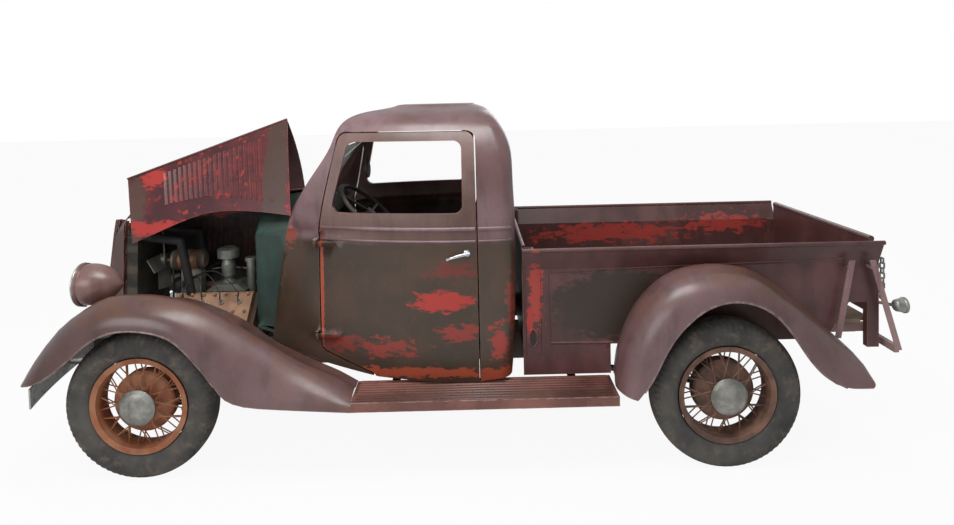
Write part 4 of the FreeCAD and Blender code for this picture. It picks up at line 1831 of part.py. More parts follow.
bed_base = new_body("bed_base")
bed_start = f"({FRONT} + bed_front + seam)"
gate_axis_x = f"({REAR} + bed_rear - gate_thick / 2)"
gate_axis_z = "(bed_floor + gate_thick)"
bed_end = f"({gate_axis_x} - gate_thick / 2 - moving_gap)"
inner_half = "(bed_half - bed_sheet - seam)"
pad(bed_base, "XY", "bed_floor - bed_floor_plate", "bed_floor",
    corners(f"{bed_start} + post_depth", f"-{inner_half}", f"{bed_end} - post_depth", inner_half))
pad(bed_base, "XY", "bed_floor - bed_floor_plate", "bed_floor",
    corners(f"{bed_start} + bed_sheet", f"-({inner_half} - post_width)", f"{bed_end}", f"{inner_half} - post_width"))
for share, low in ((0.03, "rail_low + rail_depth + seam"), (0.42, "rail_rear_low + rail_depth * 0.76 + seam"),
                   (0.66, "rail_rear_low + rail_depth * 0.76 + seam"), (0.9, "rail_rear_low + rail_depth * 0.76 + seam")):
    x = f"({bed_start} + post_depth + ({bed_end} - {bed_start}) * {share})"
    pad(bed_base, "XY", low, "bed_floor - bed_floor_plate / 2",
        corners(f"{x}", f"-({inner_half} - post_width)", f"{x} + post_depth", f"{inner_half} - post_width"))
keep(bed_base, "bed_floor")

panel = new_body("panel")
panel_half = "(bed_half - post_width - seam)"
front_x = f"{FRONT} + bed_front"
pad(panel, "YZ", front_x, f"{front_x} + bed_sheet", corners(f"-{panel_half}", "rail_low + rail_depth + seam", panel_half, "bed_rail - rail_roll"))
rail_bar = "bed_rail - rail_roll"
pad(panel, "XZ", f"-{panel_half}", panel_half, (f"{front_x} + rail_roll", rail_bar, "rail_roll"))
keep(panel, "bed_front")

gate = new_body("gate")
gate_half = "(bed_half - post_width - moving_gap)"
pad(gate, "XZ", f"-{gate_half}", gate_half, [
    (f"{gate_axis_x} - gate_thick / 2", gate_axis_z), (f"{gate_axis_x} + gate_thick / 2", gate_axis_z, gate_axis_x, f"{gate_axis_z} - gate_thick / 2"),
    (f"{gate_axis_x} + gate_thick / 2", "bed_rail - rail_roll"), (f"{gate_axis_x} - gate_thick / 2", "bed_rail - rail_roll")])
pad(gate, "XZ", f"-{gate_half}", gate_half, (gate_axis_x, "bed_rail - rail_roll", "gate_thick * 0.62"))
for low, high in ((-0.94, -0.34), (-0.3, 0.3), (0.34, 0.94)):
    pocket(gate, "YZ", f"{gate_axis_x} + gate_thick / 2 - bed_sheet", f"{gate_axis_x} + gate_thick",
           corners(f"{gate_half} * {low}", "bed_floor + gate_thick * 3", f"{gate_half} * {high}", "bed_rail - gate_thick * 2.6"))
pin_half = "(bed_half - post_width - seam)"
pad(gate, "XZ", f"-{pin_half}", pin_half, (gate_axis_x, gate_axis_z, "hinge_radius"))
keep(gate, "tailgate")

# Struts, rear irons, tail lamp and chains

irons = []
rear_x = f"({REAR} + bed_rear)"
for side in ("-", ""):
    plate_low, plate_high = ("-strut_reach - strut_plate", "-strut_reach") if side else ("strut_reach", "strut_reach + strut_plate")
    for top_x, top_z, foot_x, foot_z in (
            (f"{rear_x} - strut_lead", "bed_bend + bed_sheet * 4", f"{rear_x} - strut_lead - strut_spread * 0.55", "strut_foot_front"),
            (f"{rear_x} - post_depth", "bed_bend + bed_sheet * 4", f"{rear_x} + strut_spread * 0.55", "rail_rear_low - seam")):
        strut = new_body("strut")
        half = "strut_width / 2"
        pad(strut, "XZ", plate_low, plate_high, [
            (f"{foot_x} - {half}", foot_z), (f"{foot_x} + {half}", foot_z), (f"{top_x} + {half}", top_z), (f"{top_x} - {half}", top_z)])
        irons.append(strut)
    iron = new_body("rear_iron")
    low, high = ("-rail_reach - seam - iron_plate", "-rail_reach - seam") if side else ("rail_reach + seam", "rail_reach + seam + iron_plate")
    pad(iron, "XZ", low, high, corners(f"{rear_x} - kick_near * 0.5", "rail_rear_low + rail_wall", f"{rear_x} + post_depth", "rail_rear_low + rail_wall + iron_depth"))
    irons.append(iron)
    cross = new_body("iron_cross")
    low, high = ("-strut_reach - strut_plate", "-rail_reach - seam * 2") if side else ("rail_reach + seam * 2", "strut_reach + strut_plate")
    pad(cross, "XZ", low, high, corners(f"{rear_x} + post_depth - iron_plate", "rail_rear_low - iron_plate", f"{rear_x} + post_depth + iron_plate", "rail_rear_low + iron_plate * 2"))
    irons.append(cross)
bridges = []
for side in (-1, 1):
    for lead in (s.strut_lead, s.post_depth):
        start = Vector(worth(rear_x) - lead, side * (s.bed_half + s.seam), s.bed_bend - s.overrun)
        bridges.append(rod("strut_bolt", start, Vector(start.x, side * (s.strut_reach + s.strut_plate / 2), start.z), "lever_radius"))
joined("rear_irons", *irons, *bridges)

tail = new_body("tail_bowl")
turn(tail, "XZ", "H_Axis", [
    ("0", "0"), ("tail_lamp_length * 0.2", "tail_lamp_radius * 0.75", "tail_lamp_length * 0.05", "tail_lamp_radius * 0.45"),
    ("tail_lamp_length * 0.7", "tail_lamp_radius * 0.92"), ("tail_lamp_length * 0.72", "tail_lamp_radius"),
    ("tail_lamp_length * 0.86", "tail_lamp_radius"), ("tail_lamp_length", "0", "tail_lamp_length * 0.96", "tail_lamp_radius * 0.6")])
place(tail, f"{REAR} + rear_reach - tail_lamp_length", "-tail_lamp_reach", "tail_lamp_level")
lamp_back = Vector(rear_axle + s.rear_reach - s.tail_lamp_length * 0.8, -s.tail_lamp_reach, s.tail_lamp_level)
post_face = Vector(worth(rear_x) + s.seam, -s.bed_half + s.post_width / 2, s.tail_lamp_level)
knee = post_face + Vector(s.lever_radius * 2, 0, 0)
joined("tail_lamp", tail, rod("tail_stem", lamp_back, knee, "lever_radius"), ball("tail_knee", knee, "lever_radius"),
       rod("tail_foot", knee, post_face, "lever_radius"))


def link_shape(middle, run, flat):
    """One oval chain link along a run, turned a quarter from its neighbours."""
    across = run.cross(Vector(1, 0, 0) if flat else run.cross(Vector(1, 0, 0)))
    across.normalize()
    wide = across * s.link_wire * 2.4
    long = run * s.link_half
    ring = [middle - long - wide, middle + long - wide, middle + long + wide, middle - long + wide]
    path = [round_bar(ring[0], ring[1], s.link_wire), round_bar(ring[1], ring[2], s.link_wire),
            round_bar(ring[2], ring[3], s.link_wire), round_bar(ring[3], ring[0], s.link_wire)]
    return path[0].multiFuse(path[1:])


links = []
for side in (-1, 1):
    eye = Vector(worth(rear_x) + s.link_wire * 4, side * (s.bed_half - s.post_width / 2), s.bed_bend + s.link_half)
    links.append(round_bar(eye, Vector(worth(rear_x) + s.seam, eye.y, eye.z), s.link_wire))
    run = Vector(0, 0, -1)
    for index in range(int(s.chain_links)):
        middle = eye + Vector(s.link_wire * 2, side * s.link_wire / 2, -s.link_half) + run * (s.link_half * 2 * index)
        links.append(link_shape(middle, run, index % 2 == 0))
formed("tailgate_chains", Part.makeCompound(links))

# Checks and export

doc.recompute()
for thing in doc.Objects:
    if "Invalid" in thing.State or "Error" in thing.State:
        raise RuntimeError(f"{thing.Label}: {thing.State}")
os.makedirs("parts", exist_ok=True)
for node in NODES:
    shape = node.Shape
    if shape.isNull() or not shape.isValid():
        raise RuntimeError(f"{node.Label} has no valid shape")
    shape.exportStep(f"parts/{node.Label}.step")
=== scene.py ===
# %% [markdown]
# # An old pickup truck, dressed
# The truck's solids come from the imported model. This file gives them their worn paint, rust, chrome,
# rubber and leather, and adds the small pieces that a solid model leaves out: tyre treads, mouldings,
# handles, wires and padded seats. Everything is in metres, with the front of the truck towards -X, its
# left side towards -Y and the ground at Z = 0.

# %% Load the frame
import math
import bpy
import numpy as np
from mathutils import Matrix, Vector


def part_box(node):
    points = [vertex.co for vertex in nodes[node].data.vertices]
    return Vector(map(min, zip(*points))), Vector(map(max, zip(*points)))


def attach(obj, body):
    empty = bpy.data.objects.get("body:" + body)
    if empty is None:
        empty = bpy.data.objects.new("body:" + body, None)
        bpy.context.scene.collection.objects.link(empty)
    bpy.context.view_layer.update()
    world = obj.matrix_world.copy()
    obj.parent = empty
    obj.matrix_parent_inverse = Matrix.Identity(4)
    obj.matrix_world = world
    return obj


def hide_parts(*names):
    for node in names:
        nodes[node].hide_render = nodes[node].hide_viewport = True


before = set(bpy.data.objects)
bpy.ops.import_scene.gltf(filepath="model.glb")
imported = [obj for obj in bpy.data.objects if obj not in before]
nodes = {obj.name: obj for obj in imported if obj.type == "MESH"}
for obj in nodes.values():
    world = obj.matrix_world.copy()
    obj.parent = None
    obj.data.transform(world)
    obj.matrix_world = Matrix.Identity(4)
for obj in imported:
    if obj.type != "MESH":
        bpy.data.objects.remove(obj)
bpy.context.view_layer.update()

# %% [markdown]
# ## The camera
# The photograph was taken from the left, about level with the truck's middle and about 1.8 m above
# the ground, with a wide lens. A picture taken square to the truck that shows it low in the frame is
# made with a level camera and a lens shift, the way a view camera does it, so upright posts stay
# upright.

# %% Camera
CAMERA_PLACE = Vector((0.0339, -3.941, 1.8299))
YAW, PITCH, ROLL = 0.005562, 0.036921, -0.022596
FILM_WIDTH, FOCAL_LENGTH, SHIFT_UP = 36, 25.158, -0.1493


def in_scene(name, data):
    """A new object at the origin, linked to the scene."""
    made = bpy.data.objects.new(name, data)
    bpy.context.scene.collection.objects.link(made)
    return made


camera_data = bpy.data.cameras.new("camera")
camera = in_scene("camera", camera_data)
forward = Vector((math.sin(YAW) * math.cos(PITCH), math.cos(YAW) * math.cos(PITCH), -math.sin(PITCH)))
level = Vector((math.cos(YAW), -math.sin(YAW), 0))
upward = level.cross(forward)
right = level * math.cos(ROLL) + upward * math.sin(ROLL)
top = upward * math.cos(ROLL) - level * math.sin(ROLL)
turned = Matrix((right, top, -forward)).transposed().to_4x4()
camera.matrix_world = Matrix.Translation(CAMERA_PLACE) @ turned
camera_data.sensor_width = FILM_WIDTH
camera_data.lens = FOCAL_LENGTH
camera_data.shift_y = SHIFT_UP
bpy.context.scene.camera = camera
bpy.context.scene.view_settings.view_transform = "Standard"
print("camera at", [round(c, 2) for c in CAMERA_PLACE], "lens", camera_data.lens)

# %% [markdown]
# ## Building shader trees with little code
# Every finish below is a small tree of nodes. A few helpers keep those trees readable: one adds a
# node and sets or links its inputs by name, others mix two colours by a mask, do arithmetic, turn a
# value into a soft step or make a cloud, and two begin and end each material.

# %% Colours, materials and arithmetic
def paint(hex_colour):
    """A colour as it is written in a web page, turned into the linear numbers that shaders use."""
    parts = [int(hex_colour[i:i + 2], 16) / 255 for i in (1, 3, 5)]
    return tuple(c / 12.92 if c <= 0.04045 else ((c + 0.055) / 1.055) ** 2.4 for c in parts) + (1,)


def new_material(name):
    """An empty node material and its output."""
    material = bpy.data.materials.new(name)
    material.use_nodes = True
    tree = material.node_tree
    tree.nodes.clear()
    return material, tree, tree.nodes.new("ShaderNodeOutputMaterial")


def add(tree, kind, inputs=None, **settings):
    """A node with its properties set, then each input either linked from a socket or given a value."""
    made = tree.nodes.new(kind)
    for name, value in settings.items():
        setattr(made, name, value)
    for name, value in (inputs or {}).items():
        if isinstance(value, bpy.types.NodeSocket):
            tree.links.new(value, made.inputs[name])
        else:
            made.inputs[name].default_value = value
    return made


def mixed(tree, mask, first, second):
    """first where the mask is 0, second where it is 1: first * (1 - mask) + second * mask."""
    made = add(tree, "ShaderNodeMix", {0: mask, 6: first, 7: second}, data_type="RGBA")
    return made.outputs[2]


def reckon(tree, operation, *values, clamped=False):
    """One step of arithmetic on sockets or numbers."""
    made = add(tree, "ShaderNodeMath", dict(enumerate(values)), operation=operation, use_clamp=clamped)
    return made.outputs[0]


def times(tree, first, second):
    """One value multiplied by another."""
    return reckon(tree, "MULTIPLY", first, second)


def plus(tree, first, second, clamped=False):
    """The sum of two values."""
    return reckon(tree, "ADD", first, second, clamped=clamped)


def minus(tree, first, second):
    """The second value taken from the first."""
    return reckon(tree, "SUBTRACT", first, second)


def part_of(tree, vector, axis):
    """The X, Y or Z part of a vector."""
    return add(tree, "ShaderNodeSeparateXYZ", {0: vector}).outputs[axis]


print("a mid grey is", round(paint("#808080")[0], 3), "in linear numbers")

# %% Patterns
def ramp(tree, value, low, high, start=0.0, end=1.0):
    """A value turned into a soft step: start below low, end above high, smooth between."""
    made = add(tree, "ShaderNodeMapRange", {0: value, 1: low, 2: high, 3: start, 4: end},
               interpolation_type="SMOOTHSTEP")
    return made.outputs[0]


def noise(tree, place, scale, detail=4.0, rough=0.55, twist=0.0):
    """A cloudy value from 0 to 1 that changes over the surface."""
    inputs = {"Vector": place, "Scale": scale, "Detail": detail, "Roughness": rough, "Distortion": twist}
    return add(tree, "ShaderNodeTexNoise", inputs).outputs["Fac"]


def facing(tree):
    """The direction that the surface faces."""
    return add(tree, "ShaderNodeNewGeometry").outputs["Normal"]


print("ramps and clouds are ready")

# %% Finishes and groups
def finished(material, tree, output, inputs):
    """Adds the surface shader with these inputs, joins it to the output and hands back the material."""
    surface = add(tree, "ShaderNodeBsdfPrincipled", inputs)
    tree.links.new(surface.outputs[0], output.inputs["Surface"])
    return material


def new_finish(name):
    """A new material, its tree and output, and the place on the piece in metres for its patterns."""
    material, tree, output = new_material(name)
    return material, tree, output, add(tree, "ShaderNodeTexCoord").outputs["Object"]


def embossed(material, tree, output, colour, rough, height, strength, depth):
    """A finished material with relief: how strong its height shows, and its depth in metres."""
    relief = add(tree, "ShaderNodeBump", {"Height": height, "Strength": strength, "Distance": depth})
    return finished(material, tree, output, {
        "Base Color": colour, "Normal": relief.outputs[0], "Roughness": rough})


def new_group(name, inputs, outputs):
    """An empty shader group with named inputs and outputs."""
    group = bpy.data.node_groups.new(name, "ShaderNodeTree")
    for label, kind, value in inputs:
        socket = group.interface.new_socket(label, in_out="INPUT", socket_type="NodeSocket" + kind)
        if value is not None:
            socket.default_value = value
    for label, kind in outputs:
        group.interface.new_socket(label, in_out="OUTPUT", socket_type="NodeSocket" + kind)
    return group, group.nodes.new("NodeGroupInput").outputs, group.nodes.new("NodeGroupOutput").inputs


def use(tree, group, inputs):
    """Places a group in a tree and returns its outputs."""
    return add(tree, "ShaderNodeGroup", inputs, node_tree=group).outputs


print("finishes and groups can be made")

# %% [markdown]
# ## Floor and light
# The photograph is cut out on white, so the floor shows as plain white to the camera but keeps the
# truck's shadow. Light Path tells the shader which rays come from the camera: those see a paler
# colour, while the light that bounces off the floor onto the truck stays natural. Broad soft lamps
# stand in for an open sky and a low sun from the left.

# %% Floor material
WHITE, WHITENED = (1, 1, 1, 1), 0.93
floor_material, tree, output = new_material("studio_floor")
matte = add(tree, "ShaderNodeBsdfDiffuse", {"Color": paint("#e9e7e4")}).outputs[0]
glow = add(tree, "ShaderNodeEmission", {"Color": WHITE}).outputs[0]
share = times(tree, add(tree, "ShaderNodeLightPath").outputs["Is Camera Ray"], WHITENED)
mix = add(tree, "ShaderNodeMixShader", {"Fac": share, 1: matte, 2: glow})
tree.links.new(mix.outputs[0], output.inputs["Surface"])
print("floor material has", len(tree.nodes), "nodes")

# %% Floor, world and lamps
FLOOR_REACH, SKY_COLOUR, SKY_STRENGTH = 30, (0.90, 0.95, 1.0, 1), 0.50
floor_mesh = bpy.data.meshes.new("studio_floor")
corners = [(x * FLOOR_REACH, y * FLOOR_REACH, 0) for x, y in ((-1, -1), (1, -1), (1, 1), (-1, 1))]
floor_mesh.from_pydata(corners, [], [(0, 1, 2, 3)])
floor = in_scene("studio_floor", floor_mesh)
floor_mesh.materials.append(floor_material)

world = bpy.data.worlds.new("studio")
bpy.context.scene.world = world
world.use_nodes = True
tree = world.node_tree
tree.nodes.clear()
sky = add(tree, "ShaderNodeBackground", {"Color": SKY_COLOUR, "Strength": SKY_STRENGTH}).outputs[0]
white = add(tree, "ShaderNodeBackground", {"Color": WHITE, "Strength": 1}).outputs[0]
seen = add(tree, "ShaderNodeLightPath").outputs
bright = reckon(tree, "MAXIMUM", seen["Is Camera Ray"], seen["Is Transmission Ray"])
mix = add(tree, "ShaderNodeMixShader", {"Fac": bright, 1: sky, 2: white})
tree.links.new(mix.outputs[0], add(tree, "ShaderNodeOutputWorld").inputs["Surface"])


def soft_lamp(name, place, target, size, watts):
    """A square lamp that faces a target."""
    data = bpy.data.lights.new(name, "AREA")
    data.size = size
    data.energy = watts
    lamp = in_scene(name, data)
    lamp.location = place
    lamp.rotation_euler = (Vector(target) - Vector(place)).to_track_quat("-Z", "Y").to_euler()


soft_lamp("overhead", (-0.5, -2.0, 5.2), (0, 0, 0.6), 2.4, 150)
soft_lamp("left_side", (-3.5, -5.5, 3.0), (0, 0, 0.8), 3.0, 85)
soft_lamp("right_side", (2.5, 5.5, 3.5), (0, 0, 0.8), 3.5, 80)
print("three lamps and a pale sky")

# %% [markdown]
# ## Worn paint
# Old paint isn't one colour. It fades in clouds, rain draws streaks down it, and where it has gone
# the primer or rust shows. The group stacks those three: a wide cloud mixes the paint with its faded
# tone, a stretched cloud adds streaks, and a sharp-edged cloud opens holes to what lies beneath. The
# same holes make the surface rougher and a little lower.

# %% Worn paint group
worn_paint, given, made = new_group("worn_paint", [
    ("Place", "Vector", None), ("Paint", "Color", paint("#6b4b48")), ("Faded", "Color", paint("#8a6a64")),
    ("Beneath", "Color", paint("#7c3b26")), ("Cloud size", "Float", 3.0), ("Wear", "Float", 0.3),
    ("Sheen roughness", "Float", 0.35)],
    [("Color", "Color"), ("Roughness", "Float"), ("Height", "Float")])
tree = worn_paint
cloud = ramp(tree, noise(tree, given["Place"], given["Cloud size"], 5), 0.38, 0.66)
stretched = add(tree, "ShaderNodeMapping", {"Vector": given["Place"], "Scale": (14, 14, 1.6)}).outputs[0]
streak = ramp(tree, noise(tree, stretched, 1.0, 4), 0.45, 0.72)
grain = noise(tree, given["Place"], 160.0, 2)
faded = mixed(tree, cloud, given["Paint"], given["Faded"])
dark = mixed(tree, times(tree, streak, 0.35), faded, paint("#33241e"))
holes = noise(tree, given["Place"], times(tree, given["Cloud size"], 4.5), 9, 0.68)
edge = minus(tree, 0.78, times(tree, given["Wear"], 0.4))
worn = ramp(tree, holes, edge, plus(tree, edge, 0.05))
coloured = mixed(tree, worn, dark, given["Beneath"])
speckled = mixed(tree, ramp(tree, grain, 0.35, 0.85, 0.0, 0.22), coloured, paint("#2a1d18"))
tree.links.new(speckled, made["Color"])
satin = plus(tree, given["Sheen roughness"], times(tree, cloud, 0.12))
tree.links.new(plus(tree, satin, times(tree, worn, 0.35), clamped=True), made["Roughness"])
tree.links.new(minus(tree, times(tree, grain, 0.25), worn), made["Height"])
print("worn_paint has", len(tree.nodes), "nodes")

# %% [markdown]
# ## Patches at a place
# The bright red patches on the door and bed are at real places, so they can't come from a random
# cloud alone. A patch is an egg round a named centre: the distance from the centre, measured in
# egg sizes, with a cloud added to ravel its edge, then cut by a soft step.

# %% Patch group
patch, given, made = new_group("patch", [
    ("Place", "Vector", None), ("Centre", "Vector", (0, 0, 0)), ("Size", "Vector", (0.1, 0.1, 0.1)),
    ("Ragged", "Float", 0.9)], [("Mask", "Float")])
tree = patch
vector_math = "ShaderNodeVectorMath"
apart = add(tree, vector_math, {0: given["Place"], 1: given["Centre"]}, operation="SUBTRACT").outputs[0]
in_sizes = add(tree, vector_math, {0: apart, 1: given["Size"]}, operation="DIVIDE").outputs[0]
distance = add(tree, vector_math, {0: in_sizes}, operation="LENGTH").outputs["Value"]
smear = add(tree, "ShaderNodeMapping", {"Vector": given["Place"], "Scale": (1.0, 1.0, 2.2)}).outputs[0]
ravel = minus(tree, noise(tree, smear, 15.0, 8, 0.7), 0.5)
edge = plus(tree, distance, times(tree, times(tree, ravel, 4.0), given["Ragged"]))
tree.links.new(ramp(tree, edge, 0.75, 1.1, 1.0, 0.0), made["Mask"])
print("patch has", len(tree.nodes), "nodes")

# %% [markdown]
# ## Dust and edge wear
# Dust settles on faces that look up and on whatever is low down, and edges lose their paint first.
# Each is a mask of its own, so that a finish can use as much of it as its piece shows.

# %% Dust and edge groups
dust, given, made = new_group("dust", [
    ("Place", "Vector", None), ("Amount", "Float", 0.5), ("Ground height", "Float", 0.5)],
    [("Mask", "Float")])
tree = dust
upward_mask = ramp(tree, part_of(tree, facing(tree), "Z"), 0.1, 0.95)
low_mask = ramp(tree, part_of(tree, given["Place"], "Z"), 0.0, given["Ground height"], 1.0, 0.0)
cloudy = ramp(tree, noise(tree, given["Place"], 9.0, 6), 0.3, 0.75)
both = plus(tree, upward_mask, low_mask, clamped=True)
tree.links.new(times(tree, times(tree, both, cloudy), given["Amount"]), made["Mask"])

edge_wear, given, made = new_group("edge_wear", [
    ("Place", "Vector", None), ("Reach", "Float", 0.006), ("Amount", "Float", 0.7)], [("Mask", "Float")])
tree = edge_wear
rounded = add(tree, "ShaderNodeBevel", {"Radius": given["Reach"]}, samples=4).outputs[0]
agree = add(tree, vector_math, {0: rounded, 1: facing(tree)}, operation="DOT_PRODUCT").outputs["Value"]
sharp = ramp(tree, agree, 0.86, 0.995, 1.0, 0.0)
broken = ramp(tree, noise(tree, given["Place"], 30.0, 5), 0.35, 0.6)
tree.links.new(times(tree, times(tree, sharp, broken), given["Amount"]), made["Mask"])
print("dust and edge_wear are ready")

# %% [markdown]
# ## One recipe for every painted panel
# A painted panel is the worn paint group, then its patches, then edge wear, then dust, each laid over
# the last. The differences between a fender, a door and the bed are only colours, amounts and
# places, so one function builds them all and each finish is one short call.

# %% Painted panel recipe
def painted(name, base, faded, beneath, cloud=3.0, wear=0.3, sheen=0.36, coat=0.12, patches=(),
            edge=("#9a8078", 0.5, 0.006), dusty=("#8b7b6d", 0.3, 0.5), metal=0.0, bump=0.25, zone=None):
    """Worn paint, an optional zone of another colour, patches, worn edges and dust, in that order."""
    material, tree, output, place = new_finish(name)
    paintwork = use(tree, worn_paint, {"Place": place, "Paint": paint(base), "Faded": paint(faded),
                                       "Beneath": paint(beneath), "Cloud size": cloud, "Wear": wear,
                                       "Sheen roughness": sheen})
    colour = paintwork["Color"]
    if zone:
        colour = zone(tree, place, colour)
    for tone, centre, size, ragged in patches:
        mask = use(tree, patch, {"Place": place, "Centre": centre, "Size": size, "Ragged": ragged})["Mask"]
        colour = mixed(tree, mask, colour, paint(tone))
    tone, amount, reach = edge
    if amount:
        mask = use(tree, edge_wear, {"Place": place, "Reach": reach, "Amount": amount})["Mask"]
        colour = mixed(tree, mask, colour, paint(tone))
    tone, amount, height = dusty
    settled = use(tree, dust, {"Place": place, "Amount": amount, "Ground height": height})["Mask"]
    colour = mixed(tree, settled, colour, paint(tone))
    rough = plus(tree, paintwork["Roughness"], times(tree, settled, 0.3), clamped=True)
    relief = add(tree, "ShaderNodeBump", {"Height": paintwork["Height"], "Strength": bump, "Distance": 0.002})
    return finished(material, tree, output, {
        "Base Color": colour, "Roughness": rough, "Normal": relief.outputs[0], "Metallic": metal,
        "Coat Weight": coat, "Coat Roughness": 0.25})


RED = "#ad2f27"
fender_paint = painted(
    "fender_paint", "#573c38", "#75585a", "#7d4232", 1.6, 0.14, 0.26, 0.45,
    edge=("#b9a7a0", 0.8, 0.007), dusty=("#6d4629", 0.75, 0.62))
print("fender paint has", len(fender_paint.node_tree.nodes), "nodes")

# %% [markdown]
# ## The cab: mauve above the belt, bare olive-brown below
# The roof and pillars kept a satin coat that has faded to mauve, while the panels under the belt line
# have been rubbed through to an olive-brown primer with red-orange undercoat in patches. A soft step
# on the height, broken by a cloud, changes one into the other.

# %% Cab, door and cowl finishes
def below_belt(tone, level, blur=0.02):
    """A zone under a height: the step is on Z plus a little cloud, so its edge isn't ruled."""
    def zone(tree, place, colour):
        height = part_of(tree, place, "Z")
        wander = times(tree, minus(tree, noise(tree, place, 7.0, 6), 0.5), blur * 2)
        under = ramp(tree, plus(tree, height, wander), level - blur, level + blur, 1.0, 0.0)
        clouds = ramp(tree, noise(tree, place, 4.0, 7, 0.65), 0.35, 0.7)
        field = mixed(tree, clouds, paint(tone[0]), paint(tone[1]))
        scuffs = ramp(tree, noise(tree, place, 19.0, 9, 0.72), 0.58, 0.72)
        field = mixed(tree, times(tree, scuffs, 0.55), field, paint(tone[2]))
        return mixed(tree, under, colour, field)
    return zone


OLIVE = ("#3c2e22", "#4c3727", "#6f4030")
cab_paint = painted(
    "cab_paint", "#694b49", "#86696e", "#7a4232", 1.7, 0.16, 0.28, 0.4,
    patches=[("#9c3024", (0.14, -0.69, 0.60), (0.045, 0.2, 0.09), 1.3),
             ("#7d3426", (0.20, -0.69, 0.80), (0.025, 0.2, 0.12), 1.4),
             ("#a4492f", (0.13, -0.69, 0.43), (0.16, 0.2, 0.04), 0.8),
             (RED, (0.15, 0.69, 0.62), (0.06, 0.2, 0.11), 0.9),
             ("#8c3d2c", (-0.95, -0.5, 1.12), (0.05, 0.2, 0.06), 1.0)],
    zone=below_belt(OLIVE, 1.105), edge=("#a5634a", 0.6, 0.006), dusty=("#7d5a45", 0.3, 0.5))
door_paint = painted(
    "door_paint", "#62473f", "#7c5f59", "#8a4631", 2.2, 0.22, 0.36, 0.2,
    patches=[(RED, (-0.14, -0.69, 0.815), (0.15, 0.3, 0.05), 0.75),
             ("#6e2a21", (-0.10, -0.69, 0.97), (0.11, 0.3, 0.04), 1.6),
             ("#8d2f25", (-0.05, -0.69, 0.655), (0.12, 0.3, 0.035), 1.5),
             ("#8d2f25", (-0.44, -0.69, 0.575), (0.15, 0.3, 0.045), 1.6),
             ("#7d2c24", (-0.66, -0.69, 0.585), (0.11, 0.3, 0.05), 1.6),
             ("#a4492f", (-0.25, -0.69, 0.45), (0.42, 0.3, 0.028), 0.9),
             ("#a4492f", (-0.76, -0.6, 0.85), (0.012, 0.3, 0.35), 0.5),
             (RED, (-0.35, 0.69, 0.60), (0.24, 0.3, 0.06), 1.1),
             (RED, (-0.12, 0.69, 0.85), (0.12, 0.3, 0.05), 0.9)],
    edge=("#a0503a", 0.7, 0.006), dusty=("#6f4f3b", 0.25, 0.55),
    zone=below_belt(OLIVE, 1.108))
cowl_paint = painted(
    "cowl_paint", "#223630", "#345049", "#5d4435", 3.0, 0.18, 0.4, 0.15,
    edge=("#8d9c93", 0.7, 0.008), dusty=("#57604f", 0.35, 0.55))
print("cab, door and cowl finishes are ready")

# %% [markdown]
# ## Hood, bed and struts
# The raised hood side shows brown primer at its ends, maroon louvres and bright red undercoat
# between them and along its arched foot; the far hood side's inside is darkened as painted shade.
# The bed is maroon with red undercoat on its front post and inner faces. Both follow the same
# recipe with other colours and places.

# %% Hood and shell finishes
def painted_inner_shade(tree, place, colour):
    """The far hood side's inside gets painted shade: right of the middle and facing left is dark."""
    turned_left = ramp(tree, part_of(tree, facing(tree), "Y"), -0.3, -0.1, 1.0, 0.0)
    on_the_right = ramp(tree, part_of(tree, place, "Y"), 0.02, 0.05)
    # painted shade: the inside of the far hood side is turned near black where it faces the middle
    return mixed(tree, times(tree, turned_left, on_the_right), colour, paint("#241b18"))


hood_side_paint = painted(
    "hood_side_paint", "#45191e", "#641c21", RED, 5.0, 0.50, 0.34, 0.2,
    patches=[("#4a3229", (-1.06, -0.25, 1.42), (0.075, 0.6, 0.42), 0.3),
             ("#55382f", (-1.93, -0.15, 1.16), (0.12, 0.6, 0.26), 0.3),
             (RED, (-1.80, -0.12, 1.40), (0.09, 0.4, 0.05), 0.8),
             (RED, (-1.62, -0.12, 1.13), (0.34, 0.5, 0.045), 0.8)],
    edge=("#a83a30", 0.9, 0.008), dusty=("#6d4a41", 0.1, 0.2), zone=painted_inner_shade)
hood_top_paint = painted(
    "hood_top_paint", "#54302d", "#6d4643", "#8c3b2c", 3.0, 0.3, 0.34, 0.2,
    edge=("#7c5650", 0.7, 0.006), dusty=("#7a5c50", 0.3, 0.2))
shell_paint = painted(
    "shell_paint", "#4c352c", "#67483f", "#9a4632", 3.0, 0.2, 0.34, 0.25,
    edge=("#b4492f", 0.9, 0.008), dusty=("#7b5f4e", 0.3, 0.4))
print("hood and shell finishes are ready")

# %% Bed, strut, board and chassis finishes
bed_paint = painted(
    "bed_paint", "#51302e", "#6e4644", "#93392c", 2.6, 0.3, 0.38, 0.15,
    patches=[("#a83a30", (0.33, -0.6, 0.83), (0.035, 0.3, 0.17), 1.2),
             (RED, (0.30, -0.6, 0.68), (0.02, 0.3, 0.08), 0.7),
             ("#a23a33", (0.95, 0.58, 0.87), (0.45, 0.1, 0.06), 1.4),
             ("#a23a33", (1.70, 0.58, 0.92), (0.25, 0.1, 0.06), 1.4),
             ("#372a20", (0.75, -0.6, 0.75), (0.36, 0.3, 0.20), 0.35)],
    edge=("#a76a62", 0.8, 0.006), dusty=("#6f5a48", 0.35, 0.45))
strut_paint = painted(
    "strut_paint", "#8d6a69", "#a3827f", "#7c4a3d", 3.0, 0.2, 0.4, 0.1,
    edge=("#b79d97", 0.5, 0.004), dusty=("#7b6a5c", 0.3, 0.5))
RIB_PITCH = 0.026


def ribbed(tree, place, colour):
    """Grooves that run fore and aft: a saw wave across Y, dark in its narrow part."""
    across = part_of(tree, place, "Y")
    part = reckon(tree, "FRACT", reckon(tree, "DIVIDE", across, RIB_PITCH))
    groove = ramp(tree, reckon(tree, "ABSOLUTE", minus(tree, part, 0.5)), 0.36, 0.46)
    return mixed(tree, times(tree, groove, 0.75), colour, paint("#2b1815"))


